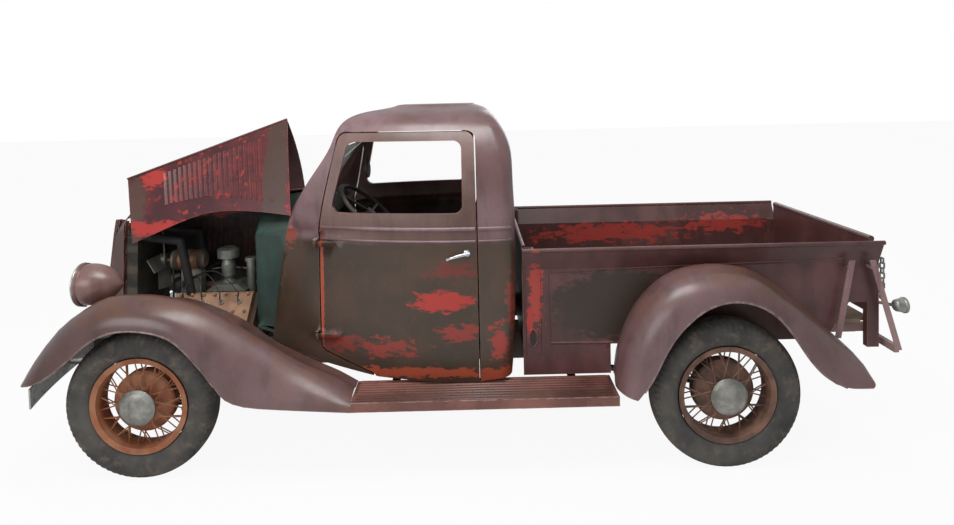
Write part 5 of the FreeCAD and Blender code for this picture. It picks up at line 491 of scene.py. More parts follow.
board_paint = painted(
    "board_paint", "#6c4038", "#8d5a50", "#8c4733", 2.5, 0.3, 0.38, 0.15,
    edge=("#c3b5ad", 0.9, 0.006), dusty=("#7a5543", 0.3, 0.5), zone=ribbed)
chassis_paint = painted(
    "chassis_paint", "#3b302b", "#55453d", "#6c4633", 4.0, 0.35, 0.6, 0.0,
    edge=("#7d6454", 0.4, 0.005), dusty=("#85705d", 0.5, 0.7))
print("bed, strut, board and chassis finishes are ready")

# %% [markdown]
# ## Castings, rims and bare metals
# Engine castings are rough and coated with tan rust dust, the front rims are rusted orange, and the
# small fittings are dull silver. The same recipe serves: all but the lamps go without a clear coat,
# and the bare fittings are more metal.

# %% Castings, rims and bare metals
head_iron = painted(
    "head_iron", "#a57a60", "#c29878", "#7c4a33", 8.0, 0.35, 0.62, 0.0,
    edge=("#d2b296", 0.5, 0.004), dusty=("#b08e74", 0.3, 0.2), bump=0.6)
block_iron = painted(
    "block_iron", "#4a3a32", "#6a5344", "#7a4a33", 6.0, 0.3, 0.7, 0.0,
    edge=("#8a6c57", 0.3, 0.004), dusty=("#85705d", 0.5, 0.5), bump=0.6)
top_alloy = painted(
    "top_alloy", "#8f9189", "#b4b5ac", "#6f5a48", 8.0, 0.25, 0.45, 0.0,
    patches=[("#9c7658", (-1.675, 0.0, 0.895), (0.125, 0.085, 0.075), 0.12)],
    edge=("#d7d8d2", 0.6, 0.003), dusty=("#7f7467", 0.4, 0.2), metal=0.6, bump=0.5)
rim_front_paint = painted(
    "rim_front_paint", "#94512f", "#a87050", "#5a3324", 9.0, 0.3, 0.55, 0.0,
    edge=("#d19a78", 0.5, 0.003), dusty=("#a07a60", 0.3, 0.2))
rim_rear_paint = painted(
    "rim_rear_paint", "#5d4238", "#8a6350", "#3f2c25", 9.0, 0.3, 0.55, 0.0,
    edge=("#9d8171", 0.5, 0.003), dusty=("#94795f", 0.4, 0.2))
lamp_paint = painted(
    "lamp_paint", "#70504a", "#8d6b63", "#6a3f33", 5.0, 0.15, 0.28, 0.4,
    edge=("#b79d92", 0.4, 0.004), dusty=("#8b7464", 0.25, 0.2))
dull_silver = painted(
    "dull_silver", "#8c8a84", "#b5b3ac", "#6b5d50", 12.0, 0.15, 0.34, 0.0,
    edge=("#dedcd6", 0.5, 0.003), dusty=("#8d8375", 0.35, 0.3), metal=0.85)
interior_dark = painted(
    "interior_dark", "#2d2825", "#3a332f", "#4b3a30", 5.0, 0.2, 0.6, 0.0,
    edge=("#594c43", 0.3, 0.004), dusty=("#6f6152", 0.35, 0.3))
print("castings, rims and metals are ready")

# %% [markdown]
# ## Chrome, glass and rubber
# Chrome is a full metal with a low roughness that rises where it is pitted. Window glass lets light
# through, and dust dulls it in clouds. Tyre rubber is a dark grey that weathers paler in clouds, with
# fine cracks.

# %% Chrome and glass
def polished(name, tone, rough, pits):
    """Full metal, its roughness raised and its colour dulled where a cloud says it is pitted."""
    material, tree, output, place = new_finish(name)
    pitted = ramp(tree, noise(tree, place, 40.0, 8, 0.7), 0.52, 0.7)
    veil = ramp(tree, noise(tree, place, 6.0, 5), 0.35, 0.75)
    colour = mixed(tree, times(tree, pitted, pits), paint(tone), paint("#6d5a4b"))
    uneven = plus(tree, times(tree, pitted, 0.3), times(tree, veil, 0.12))
    return finished(material, tree, output, {
        "Base Color": colour, "Metallic": 1.0, "Roughness": plus(tree, uneven, rough, clamped=True)})


def glazed(name, tone, rough, dusted):
    """Clear glass with a cloud of dust that turns it dull in places."""
    material, tree, output, place = new_finish(name)
    smear = ramp(tree, noise(tree, place, 5.0, 7, 0.65), 0.3, 0.8, rough, rough + dusted)
    specks = ramp(tree, noise(tree, place, 30.0, 4), 0.4, 0.8, 0.0, 0.15)
    return finished(material, tree, output, {
        "Base Color": mixed(tree, specks, paint(tone), paint("#b9ad9a")), "Metallic": 0.0,
        "Roughness": smear, "Transmission Weight": 1.0, "IOR": 1.45})


chrome = polished("chrome", "#d4d6da", 0.12, 0.5)
worn_chrome = polished("worn_chrome", "#b9b8b4", 0.26, 0.8)
window_glass = glazed("window_glass", "#e9efec", 0.02, 0.06)
lens_glass = glazed("lens_glass", "#f1f3f2", 0.04, 0.12)
print("chrome and glass are ready")

# %% Rubber
def rubbery(name, tone, pale, rough, crack):
    """Dark rubber with a paler bloom in a cloud and a fine net of cracks in its relief."""
    material, tree, output, place = new_finish(name)
    bloom = ramp(tree, noise(tree, place, 5.0, 6), 0.3, 0.75)
    colour = mixed(tree, bloom, paint(tone), paint(pale))
    mud = ramp(tree, noise(tree, place, 13.0, 7, 0.7), 0.5, 0.68)
    colour = mixed(tree, times(tree, mud, 0.5), colour, paint("#7f6c5b"))
    net = add(tree, "ShaderNodeTexVoronoi", {"Vector": place, "Scale": 90.0}, feature="DISTANCE_TO_EDGE")
    lines = ramp(tree, net.outputs["Distance"], 0.0, 0.06)
    rougher = plus(tree, times(tree, bloom, 0.15), rough)
    return embossed(material, tree, output, colour, rougher, lines, crack, 0.001)


tyre_rubber = rubbery("tyre_rubber", "#33312f", "#5c5853", 0.7, 0.35)
hose_rubber = rubbery("hose_rubber", "#1d1c1b", "#383532", 0.45, 0.2)
print("rubber is ready")

# %% [markdown]
# ## Leather, boards and radiator core
# The seat is cracked brown leather: a cell pattern makes the creases and a cloud wears them pale.
# The bed's planks run fore and aft, so their pattern is a wave across Y with grain stretched along
# X. The radiator core is a comb of fins with painted shade in the gaps between them.

# %% Leather
def leathery(name, tone, worn_tone):
    """Cell-shaped creases, darker in their folds, with a pale worn cloud."""
    material, tree, output, place = new_finish(name)
    cells = add(tree, "ShaderNodeTexVoronoi", {"Vector": place, "Scale": 120.0}, feature="DISTANCE_TO_EDGE")
    folds = ramp(tree, cells.outputs["Distance"], 0.0, 0.12)
    rubbed = ramp(tree, noise(tree, place, 7.0, 6, 0.6), 0.42, 0.7)
    colour = mixed(tree, rubbed, paint(tone), paint(worn_tone))
    colour = mixed(tree, folds, paint("#1c120d"), colour)
    rough = plus(tree, 0.42, times(tree, rubbed, 0.2))
    return embossed(material, tree, output, colour, rough, folds, 0.4, 0.001)


seat_leather = leathery("seat_leather", "#3b241a", "#5d3d2c")
print("leather has", len(seat_leather.node_tree.nodes), "nodes")

# %% Boards
PLANK = 0.145


def planked(name, tone, grey, plank):
    """Boards that run along X: a saw wave across Y marks the joints, stretched noise is the grain."""
    material, tree, output, place = new_finish(name)
    across = part_of(tree, place, "Y")
    part_of_plank = reckon(tree, "FRACT", reckon(tree, "DIVIDE", across, plank))
    beside = reckon(tree, "ABSOLUTE", minus(tree, part_of_plank, 0.5))
    joint = ramp(tree, beside, 0.47, 0.495)
    stretched = add(tree, "ShaderNodeMapping", {"Vector": place, "Scale": (2.2, 46.0, 46.0)}).outputs[0]
    grain = noise(tree, stretched, 1.0, 8, 0.6, 0.4)
    colour = mixed(tree, grain, paint(tone), paint(grey))
    colour = mixed(tree, joint, colour, paint("#17110d"))
    height = minus(tree, times(tree, grain, 0.4), joint)
    rough = plus(tree, 0.7, times(tree, grain, 0.2))
    return embossed(material, tree, output, colour, rough, height, 0.6, 0.003)


bed_boards = planked("bed_boards", "#5b4433", "#8b7a68", PLANK)
print("boards are", PLANK, "metres wide")

# %% Radiator core
FIN_WAVE, TUBE_WAVE, CORE_FACE = 1300.0, 520.0, (-1.888, -1.882)


def finned(name):
    """A fine comb of fins: a sine of the height and one across, with painted shade between them."""
    material, tree, output, place = new_finish(name)
    parts = add(tree, "ShaderNodeSeparateXYZ", {0: place}).outputs
    fins = reckon(tree, "SINE", times(tree, parts["Z"], FIN_WAVE))
    tubes = reckon(tree, "SINE", times(tree, parts["Y"], TUBE_WAVE))
    comb = ramp(tree, reckon(tree, "MAXIMUM", fins, tubes), 0.1, 0.9)
    # painted shade: the gaps between the fins are near black, the fin edges a dusty grey
    colour = mixed(tree, comb, paint("#141312"), paint("#4d4840"))
    dusted = ramp(tree, noise(tree, place, 9.0, 6), 0.45, 0.7, 0.0, 0.5)
    colour = mixed(tree, dusted, colour, paint("#6c5948"))
    # behind its front face the core is one plain dark colour
    colour = mixed(tree, ramp(tree, parts["X"], *CORE_FACE), colour, paint("#211f1d"))
    rough = plus(tree, 0.5, times(tree, comb, 0.15))
    return embossed(material, tree, output, colour, rough, comb, 0.5, 0.002)


radiator_core = finned("radiator_core")
print("the core has", len(radiator_core.node_tree.nodes), "nodes")

# %% [markdown]
# ## Dressing the solids
# Each solid part of the truck takes one finish. The table reads as the truck does, from the ground
# up, and each name is the part's own.

# %% Dress the solids
FINISHES = {
    tyre_rubber: "tyre_front_left tyre_front_right tyre_rear_left tyre_rear_right",
    rim_front_paint: "wheel_front_left wheel_front_right",
    rim_rear_paint: "wheel_rear_left wheel_rear_right",
    chassis_paint: "front_axle rear_axle leaf_springs frame_rails knuckle_left knuckle_right tie_rod "
                   "drag_link pitman_arm exhaust gearbox pedals",
    strut_paint: "rear_irons",
    block_iron: "engine_block",
    head_iron: "engine_heads",
    top_alloy: "engine_top fan",
    radiator_core: "radiator",
    shell_paint: "radiator_shell grille",
    hood_top_paint: "hood_top_right hood_top_left hood_hinge",
    hood_side_paint: "hood_side_right hood_side_left",
    cab_paint: "cab_shell",
    door_paint: "door_left door_right",
    cowl_paint: "firewall",
    interior_dark: "cab_floor dash steering_column steering_wheel",
    window_glass: "cab_glass",
    seat_leather: "seat_cushion seat_back",
    fender_paint: "front_fender_left front_fender_right rear_fender_left rear_fender_right",
    board_paint: "running_board_left running_board_right",
    lamp_paint: "headlamps",
    lens_glass: "headlamp_lenses",
    worn_chrome: "front_bumper",
    bed_paint: "bed_side_left bed_side_right bed_front tailgate",
    bed_boards: "bed_floor",
    dull_silver: "tailgate_chains tail_lamp",
}
dressed = 0
for finish, names in FINISHES.items():
    for name in names.split():
        mesh = nodes[name].data
        mesh.materials.clear()
        mesh.materials.append(finish)
        mesh.shade_smooth()
        dressed += 1
print(dressed, "of", len(nodes), "solids have a finish")

# %% [markdown]
# ## Grids of points become pieces
# Most small pieces of a truck are turned or drawn: a tyre or a hub cap is a profile spun round an
# axle, a hose or a moulding is a section carried along a line. Both are a grid of points whose rows
# and columns are joined by quads. This function joins such grids into one mesh that rides a body.

# %% Grids into a mesh
import bmesh
from mathutils.bvhtree import BVHTree

SAME_PLACE, FOLD = 1e-5, 0.75
SIDES = ((-1, "left"), (1, "right"))


def merged(mesh, outward=False):
    """Joins the corners that lie on one place, and turns every face outward if asked."""
    shape = bmesh.new()
    shape.from_mesh(mesh)
    bmesh.ops.remove_doubles(shape, verts=shape.verts, dist=SAME_PLACE)
    if outward:
        bmesh.ops.recalc_face_normals(shape, faces=shape.faces)
    shape.to_mesh(mesh)
    shape.free()


def piece(name, grids, body, finish, around=True, closed=False):
    """Each cell of a grid is a quad of four neighbours. Rows can be rings, and so can columns."""
    points, faces, start = [], [], 0
    for grid in grids:
        rows, columns = grid.shape[:2]
        index = np.arange(rows * columns).reshape(rows, columns) + start
        index = np.hstack([index, index[:, :1]]) if around else index
        index = np.vstack([index, index[:1]]) if closed else index
        neighbours = [index[:-1, :-1], index[:-1, 1:], index[1:, 1:], index[1:, :-1]]
        faces.append(np.stack(neighbours, -1).reshape(-1, 4))
        points.append(grid.reshape(-1, 3))
        start += rows * columns
    mesh = bpy.data.meshes.new(name)
    mesh.from_pydata(np.concatenate(points).tolist(), [], np.concatenate(faces).tolist())
    merged(mesh, outward=True)
    mesh.shade_smooth()
    mesh.set_sharp_from_angle(angle=FOLD)
    mesh.materials.append(finish)
    made = in_scene(name, mesh)
    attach(made, body)
    return made


print("corners closer than", SAME_PLACE, "metres are joined")

# %% [markdown]
# ## Tyres with tread
# A tyre is one section spun round the axle. The section is a rounded box from bead to bead. The tread
# is cut by lowering the radius in narrow zigzag grooves round the crown and in slots across each
# shoulder, and two low ridges ring the side wall, so the pattern is real shape on every tyre.

# %% Tyres
AXLES = {"front_left": (-1.617, -0.700), "front_right": (-1.617, 0.700),
         "rear_left": (1.228, -0.735), "rear_right": (1.228, 0.735)}
TYRE_RADIUS, SECTION_MIDDLE, HALF_TYRE = 0.362, 0.296, 0.079
GROOVE_PITCH, GROOVE_DEPTH, GROOVED_HALF = 0.019, 0.006, 0.05
ZIGZAGS, ZIGZAG_REACH = 54, 0.0022
SHOULDER_SLOTS, SLOT_DEPTH = 72, 0.005
RING_HEIGHT, RING_WIDTH, RING_PLACES = 0.0012, 0.004, (0.012, -0.028)


def tyre_grid(x, y):
    """Reach and rise are powers of cosine and sine, which make a box with round corners.

    The radius is the section's middle plus the rise, less the depth of each groove and slot.
    """
    turn = np.linspace(0, 2 * np.pi, 320, endpoint=False)[:, None]
    near, crown, far = np.linspace(-58, 20, 12), np.linspace(26, 154, 45), np.linspace(160, 238, 12)
    section = np.radians(np.concatenate([near, crown, far]))[None]
    reach = HALF_TYRE * np.sign(np.cos(section)) * np.abs(np.cos(section)) ** 0.72
    height = TYRE_RADIUS - SECTION_MIDDLE
    rise = height * np.sign(np.sin(section)) * np.abs(np.sin(section)) ** 0.75
    zigzag = ZIGZAG_REACH * (2 * np.abs((turn * ZIGZAGS / (2 * np.pi)) % 1 - 0.5) * 2 - 1)
    beside = np.abs((reach + zigzag) / GROOVE_PITCH % 1 - 0.5)
    groove = np.clip((beside - 0.36) / 0.08, 0, 1) * (np.abs(reach) < GROOVED_HALF)
    shoulder = (np.abs(reach) > 0.048) & (rise > 0.028)
    between = np.abs((turn * SHOULDER_SLOTS / (2 * np.pi)) % 1 - 0.5)
    slot = np.clip((between - 0.3) / 0.06, 0, 1) * shoulder
    ring = RING_HEIGHT * sum(np.exp(-((rise - place) / RING_WIDTH) ** 2) for place in RING_PLACES)
    radius = SECTION_MIDDLE + rise - GROOVE_DEPTH * groove - SLOT_DEPTH * slot
    bulge = (reach + np.sign(reach) * ring) * np.ones_like(turn)
    return np.stack([x + radius * np.sin(turn), y + bulge, TYRE_RADIUS + radius * np.cos(turn)], -1)


for corner, (x, y) in AXLES.items():
    tyre = piece("tread_" + corner, [tyre_grid(x, y)], corner + "_wheel", tyre_rubber, closed=True)
    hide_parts("tyre_" + corner)
print("each tyre has", len(tyre.data.polygons), "faces")

# %% [markdown]
# ## Hub caps
# A plain dull silver dome sits over each wheel's hub. It is a spun profile: a rolled edge, a shallow
# step and a crowned face.

# %% Hub caps
CROWN_START, CROWN_HEIGHT, CROWN_RADIUS = 0.082, 0.023, 0.084


def spun(profile, centre, axis, steps=48):
    """Each profile point (along, radius) goes round the axis: centre + axis * along + radius * turn."""
    reach, radius = np.array(profile, float).T
    axis = np.array(axis, float)
    first = np.array((0.0, 0.0, 1.0)) if abs(axis[2]) < 0.9 else np.array((1.0, 0.0, 0.0))
    first = first - axis * (first @ axis)
    first /= np.linalg.norm(first)
    second = np.cross(axis, first)
    angle = np.linspace(0, 2 * np.pi, steps, endpoint=False)
    turn = np.cos(angle)[:, None] * first + np.sin(angle)[:, None] * second
    return np.array(centre) + axis * reach[:, None, None] + turn[None] * radius[:, None, None]


cap_edge = [(0.070, 0.080), (0.071, 0.0895), (0.076, 0.0905), (0.080, 0.0885)]
crown = [(CROWN_START + CROWN_HEIGHT * (1 - r**2) ** 0.7, CROWN_RADIUS * r) for r in np.linspace(1, 0, 14)]
for corner, (x, y) in AXLES.items():
    outward = (0, 1 if y > 0 else -1, 0)
    piece("hub_cap_" + corner, [spun(cap_edge + crown, (x, y, TYRE_RADIUS), outward, 64)],
          corner + "_wheel", dull_silver)
print("four hub caps with", len(cap_edge + crown), "profile points")

# %% [markdown]
# ## Headlamp rims
# A rolled chrome rim holds each lens. It is a small round section spun about the lamp's axis, with a
# clip screw below it.

# %% Headlamp rims
LAMP_APART, RIM_RADIUS, RIM_SECTION, CLIP_DROP = 0.56, 0.1035, (0.006, 0.0065), 0.112
lens_low, lens_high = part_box("headlamp_lenses")
lamp_level = (lens_low[2] + lens_high[2]) / 2
loop = [(RIM_SECTION[0] * math.sin(a), RIM_RADIUS + RIM_SECTION[1] * math.cos(a))
        for a in np.linspace(0, 2 * np.pi, 13)]
screw = [(-0.010, 0.0), (-0.010, 0.005), (0.012, 0.005), (0.012, 0.0)]
for side, word in SIDES:
    centre = (lens_low[0] + 0.013, side * LAMP_APART, lamp_level)
    clip = spun(screw, (centre[0], centre[1], lamp_level - CLIP_DROP), (1, 0, 0), 12)
    piece("lamp_rim_" + word, [spun(loop, centre, (1, 0, 0), 72), clip], "truck", worn_chrome)
print("headlamp rims at", [round(c, 3) for c in centre])

# %% [markdown]
# ## Lines laid on a panel
# A moulding has to follow the panel it is fixed to. Places along a straight line are dropped onto the
# panel from outside, and where they land is the moulding's own line, with the panel's curve in it.

# %% Lines on a panel
def skin(name):
    """A search tree over a solid's faces, which says where a straight look meets them."""
    shape = bmesh.new()
    shape.from_mesh(nodes[name].data)
    tree = BVHTree.FromBMesh(shape)
    shape.free()
    return tree


def side_line(tree, side, start, end, count=40):
    """Places from start to end (x, z), dropped onto the panel from 1.5 m out on its own side."""
    share = np.linspace(0, 1, count)[:, None]
    flat = np.array(start) * (1 - share) + np.array(end) * share
    hits = [tree.ray_cast(Vector((x, side * 1.5, z)), Vector((0, -side, 0)))[0] for x, z in flat]
    return [tuple(hit) for hit in hits if hit is not None]


door_skin = {side: skin("door_" + word) for side, word in SIDES}
cab_skin = skin("cab_shell")
print("search trees for", len(door_skin), "doors and the cab")

# %% [markdown]
# ## Mouldings, welts and handles
# The belt moulding is two drawn beads that run along the door and on round the cab's corner. A bead
# is an oval section carried along a line laid on the panel. The door's piece rides the door and
# stops at its edges.

# %% Belt mouldings
DOOR_FRONT, DOOR_REAR, SEAM, CORNER = -0.778, 0.030, 0.016, 0.205
BEADS = ((1.176, 0.010, 0.008), (1.115, 0.007, 0.006))


def carried(line, wide, high, outward, steps=10):
    """An oval section carried along a line: line + wide * cos * across + high * sin * out, ends shut."""
    line = np.array(line, float)
    line = np.vstack([line[:1], line, line[-1:]])
    slope = np.gradient(line[1:-1], axis=0)
    slope = np.vstack([slope[:1], slope, slope[-1:]])
    slope /= np.linalg.norm(slope, axis=1)[:, None]
    across = np.cross(slope, np.array(outward, float))
    across /= np.linalg.norm(across, axis=1)[:, None]
    out = np.cross(across, slope)
    size = np.ones(len(line))
    size[[0, -1]] = 0
    angle = np.linspace(0, 2 * np.pi, steps, endpoint=False)
    sideways = (wide * np.cos(angle))[None, :, None] * across[:, None]
    upward = (high * np.sin(angle))[None, :, None] * out[:, None]
    return line[:, None] + (sideways + upward) * size[:, None, None]


for side, word in SIDES:
    outward = (0, side, 0)
    door_beads, cab_beads = [], []
    for level, wide, high in BEADS:
        line = side_line(door_skin[side], side, (DOOR_FRONT, level), (DOOR_REAR, level))
        door_beads.append(carried(line, wide, high, outward))
        line = side_line(cab_skin, side, (DOOR_REAR + SEAM, level), (CORNER, level), 24)
        cab_beads.append(carried(line, wide, high, outward))
    piece("belt_bead_door_" + word, door_beads, word + "_door", cab_paint)
    piece("belt_bead_cab_" + word, cab_beads, "truck", cab_paint)
print("belt beads lie at", round(line[0][1], 3), "to", round(line[-1][1], 3), "metres from the middle")

# %% Door handles
HANDLE_FOOT, HANDLE_TIP, LEVER = (-0.012, 1.058), (-0.112, 1.032), (0.0075, 0.005)
ESCUTCHEON = [(-0.002, 0), (-0.002, 0.017), (0.003, 0.016), (0.006, 0.010), (0.030, 0.008), (0.030, 0)]


def smooth_line(points, count):
    """A line through the points: each stretch is the cubic that keeps its neighbours' slopes."""
    points = np.array(points, float)
    slopes = np.gradient(points, axis=0)
    place = np.linspace(0, len(points) - 1, count)
    start = np.minimum(place.astype(int), len(points) - 2)
    t = (place - start)[:, None]
    near, far, leave, arrive = points[start], points[start + 1], slopes[start], slopes[start + 1]
    return (near * (2 * t**3 - 3 * t**2 + 1) + leave * (t**3 - 2 * t**2 + t)
            + far * (3 * t**2 - 2 * t**3) + arrive * (t**3 - t**2))


for side, word in SIDES:
    outward = (0, side, 0)
    foot = side_line(door_skin[side], side, HANDLE_FOOT, HANDLE_FOOT, 1)[0]
    tip = side_line(door_skin[side], side, HANDLE_TIP, HANDLE_TIP, 1)[0]
    x, y, z = foot
    lever = smooth_line([(x + 0.012, y + side * 0.031, z + 0.003), (x - 0.02, y + side * 0.034, z - 0.002),
                         (x - 0.07, y + side * 0.033, z - 0.014),
                         (tip[0], tip[1] + side * 0.026, tip[2])], 20)
    grids = [spun(ESCUTCHEON, foot, outward, 24), carried(lever, *LEVER, outward, 12)]
    piece("door_handle_" + word, grids, word + "_door", chrome)
print("door handles stand at", [round(c, 3) for c in foot])

# %% [markdown]
# ## The bed's pressed frame
# Each bed side is a flat pressing with a raised frame round its panel and a slotted post at its
# front. The frame is beads carried along lines laid on the side, and the slot is a thin dark disc
# of painted shade.

# %% Bed frame
RUNS = (((0.392, 0.925), (1.90, 0.962)), ((0.392, 0.925), (0.400, 0.560)), ((0.400, 0.560), (0.72, 0.556)),
        ((0.352, 0.93), (0.352, 0.50)), ((0.276, 0.93), (0.276, 0.50)))
BED_BEAD, SLOT_BEAD = (0.006, 0.004), (0.004, 0.004)
SLOT_PLACE, SLOT_RIM, SLOT_RADIUS, SLOT_TALLER = (0.314, 0.59), (0.021, 0.045), 0.020, 2.15
for side, word in SIDES:
    outward = (0, side, 0)
    tree = skin("bed_side_" + word)
    grids = [carried(side_line(tree, side, start, end), *BED_BEAD, outward, 8) for start, end in RUNS]
    x, y, z = side_line(tree, side, SLOT_PLACE, SLOT_PLACE, 1)[0]
    turn = np.linspace(0, 2 * np.pi, 33)
    ring = np.stack([x + SLOT_RIM[0] * np.cos(turn), np.full(33, y), z + SLOT_RIM[1] * np.sin(turn)], -1)
    grids.append(carried(ring, *SLOT_BEAD, outward, 8))
    piece("bed_frame_" + word, grids, "truck", bed_paint)
    # painted shade: a thin dark disc on the post stands for the shade inside the slot
    slot_shade = spun([(0.0006, 0), (0.0006, SLOT_RADIUS)], (x, y, z), outward, 32)
    slot_shade[..., 2] = z + (slot_shade[..., 2] - z) * SLOT_TALLER
    piece("bed_slot_" + word, [slot_shade], "truck", interior_dark)
print("bed frames with", len(RUNS), "runs a side")

# %% [markdown]
# ## Under the hood
# The open engine shows head nuts in rows, plug wires that fan out from the distributor, a fan belt,
# a crank pulley and bands round the generator. Nuts are six-sided spun profiles placed by array,
# and wires are round sections carried along smooth lines, held at both ends.

# %% Head nuts and spark plugs
heads_low, heads_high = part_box("engine_heads")
HEAD_MIDDLE = (heads_low[0] + heads_high[0]) / 2
HEAD_REACH, HEAD_LEVEL = 0.2215, 0.6465
NUT_ROW, NUT_END, PLUG_ROW = 0.105, 0.19, 0.055
NUT = [(-0.002, 0), (-0.002, 0.010), (0.010, 0.010), (0.011, 0.006), (0.018, 0.006), (0.018, 0)]
PLUG = [(-0.002, 0), (-0.002, 0.012), (0.010, 0.012), (0.012, 0.007), (0.034, 0.006), (0.036, 0.003),
        (0.042, 0)]
plug_tops = {}
for side, word in SIDES:
    face = np.array((0, side, 1)) / math.sqrt(2)
    slope = np.array((0, -side, 1)) / math.sqrt(2)
    middle = np.array((HEAD_MIDDLE, side * HEAD_REACH, HEAD_LEVEL))
    grids = [spun(NUT, middle + slope * row + np.array((x, 0, 0)), face, 6)
             for row in (-NUT_ROW, 0.0, NUT_ROW) for x in np.linspace(-NUT_END, NUT_END, 7)]
    plugs = [middle + slope * PLUG_ROW + np.array((x, 0, 0)) for x in (-0.150, -0.05, 0.05, 0.150)]
    piece("head_nuts_" + word, grids, "truck", head_iron)
    piece("spark_plugs_" + word, [spun(PLUG, place, face, 16) for place in plugs], "truck", top_alloy)
    plug_tops[side] = [place + face * 0.04 for place in plugs]
print("head nuts per side", len(grids))

# %% Plug wires
WIRE, DISTRIBUTOR = 0.0035, (-1.712, 0, 0.742)
wires = []
for side, tops in plug_tops.items():
    for order, top in enumerate(tops):
        start = np.array((-1.705, side * 0.035, 0.735 + 0.012 * order))
        lift = np.array((-1.62 + 0.05 * order, side * (0.12 + 0.01 * order), 0.80 + 0.02 * order))
        line = smooth_line([start, lift, top + (0, side * 0.01, 0.05), top], 26)
        wires.append(carried(line, WIRE, WIRE, (0.3, 0.1, 1), 8))
cap_profile = [(0, 0), (0, 0.045), (0.03, 0.05), (0.055, 0.04), (0.06, 0)]
cap = spun(cap_profile, DISTRIBUTOR, (-1, 0, 0), 24)
piece("plug_wires", wires + [cap], "truck", hose_rubber)
print(len(wires), "plug wires")

# %% Fan belt, crank pulley and generator bands
FAN_LEVEL, CRANK_LEVEL, BELT_PLANE = 0.895, 0.425, -1.748
UPPER_TURN, LOWER_TURN, BELT = 0.042, 0.075, (0.007, 0.005)
around = np.linspace(0, 2 * np.pi, 97)
above = np.cos(around) > 0
level = np.where(above, FAN_LEVEL, CRANK_LEVEL)
radius = np.where(above, UPPER_TURN, LOWER_TURN)
belt_line = np.stack([np.full(97, BELT_PLANE), radius * np.sin(around), level + radius * np.cos(around)], -1)
piece("fan_belt", [carried(belt_line, *BELT, (1, 0, 0), 8)], "truck", hose_rubber)
crank = [(-0.04, 0), (-0.04, 0.045), (-0.013, 0.045), (-0.011, 0.078), (-0.006, 0.070), (0.006, 0.070),
         (0.011, 0.078), (0.014, 0.045), (0.014, 0)]
pulley = spun(crank, (BELT_PLANE, 0, CRANK_LEVEL), (-1, 0, 0), 40)
piece("crank_pulley", [pulley], "truck", block_iron)
strap = [(-0.012, 0.0585), (-0.012, 0.0615), (0.012, 0.0615), (0.012, 0.0585)]
bands = [spun(strap, (x, 0, FAN_LEVEL), (-1, 0, 0), 40) for x in (-1.735, -1.66, -1.595)]
piece("generator_bands", bands, "truck", block_iron, closed=True)
print("a belt, a pulley and", len(bands), "bands")

# %% [markdown]
# ## Inside the cab
# Through the window the photograph shows a round mirror, the steering wheel and the edge of the
# dash. The mirror hangs from the roof, the dials are plain rings with bare faces.

# %% Mirror and dials
MIRROR, MIRROR_WIDER, STEM = (-0.549, -0.300, 1.436), 1.5, 0.005
DIAL_LEVEL, DIALS_ACROSS = 1.195, (-0.40, -0.29)
roof_hit = cab_skin.ray_cast(Vector(MIRROR), Vector((-0.12, 0, 1)).normalized())[0]
stem = smooth_line([MIRROR, (MIRROR[0] - 0.004, MIRROR[1], MIRROR[2] + 0.03), tuple(roof_hit)], 16)
shell = [(-0.010, 0), (-0.010, 0.030), (-0.002, 0.042), (0.006, 0.041), (0.006, 0.0)]
glass = spun(shell, MIRROR, (1, 0, 0), 32)
glass[..., 1] = MIRROR[1] + (glass[..., 1] - MIRROR[1]) * MIRROR_WIDER
piece("cab_mirror", [glass, carried(stem, STEM, STEM, (0, 1, 0), 10)], "truck", interior_dark)
dash_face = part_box("dash")[1][0] + 0.001
dial = [(-0.004, 0), (-0.004, 0.044), (0.006, 0.044), (0.008, 0.040), (0.003, 0.038), (0.003, 0)]
dials = [spun(dial, (dash_face, y, DIAL_LEVEL), (1, 0, 0), 40) for y in DIALS_ACROSS]
piece("dash_dials", dials, "truck", worn_chrome)
print("mirror hangs", round(roof_hit[2] - MIRROR[2], 3), "metres below the roof")

# %% [markdown]
# ## Padded seats
# The seat is two leather pads. A pad is the solid's own form, meshed anew in small even faces and
# swollen by air pressure in the cloth solver with its movement capped, so it crowns and its edges
# round off. The sewn channels are pressed in afterwards as narrow valleys across it.

# %% Places of a mesh
def places_of(mesh):
    """All points of a mesh as an array with a row of x, y and z for each."""
    flat = np.empty(len(mesh.vertices) * 3)
    mesh.vertices.foreach_get("co", flat)
    return flat.reshape(-1, 3)


def as_it_stands(thing):
    """A new mesh of the thing with its modifiers worked out. The modifiers are then taken off."""
    graph = bpy.context.evaluated_depsgraph_get()
    mesh = bpy.data.meshes.new_from_object(thing.evaluated_get(graph))
    thing.modifiers.clear()
    return mesh


print("the seat cushion has", len(places_of(nodes["seat_cushion"].data)), "points before it is meshed anew")

# %% Air under the leather
EVEN_FACE, SMOOTHINGS, DRAWN_IN = 0.010, 6, 0.985
AIR_PRESSURE, LAST_STEP = 4, 20


def swollen(pad):
    """The pad's places after the cloth solver has blown it up with air for some steps."""
    cloth = pad.modifiers.new("air", "CLOTH")
    cloth.settings.use_pressure = True
    cloth.settings.uniform_pressure_force = AIR_PRESSURE
    cloth.settings.effector_weights.gravity = 0
    for step in range(1, LAST_STEP + 1):
        bpy.context.scene.frame_set(step)
    moved = places_of(as_it_stands(pad))
    bpy.context.scene.frame_set(1)
    return moved


print("air is blown in for", LAST_STEP, "steps")

# %% Padded seats
SWELL, CHANNEL, VALLEY_DEPTH, VALLEY_WIDTH = 0.010, 0.14, 0.006, 0.006


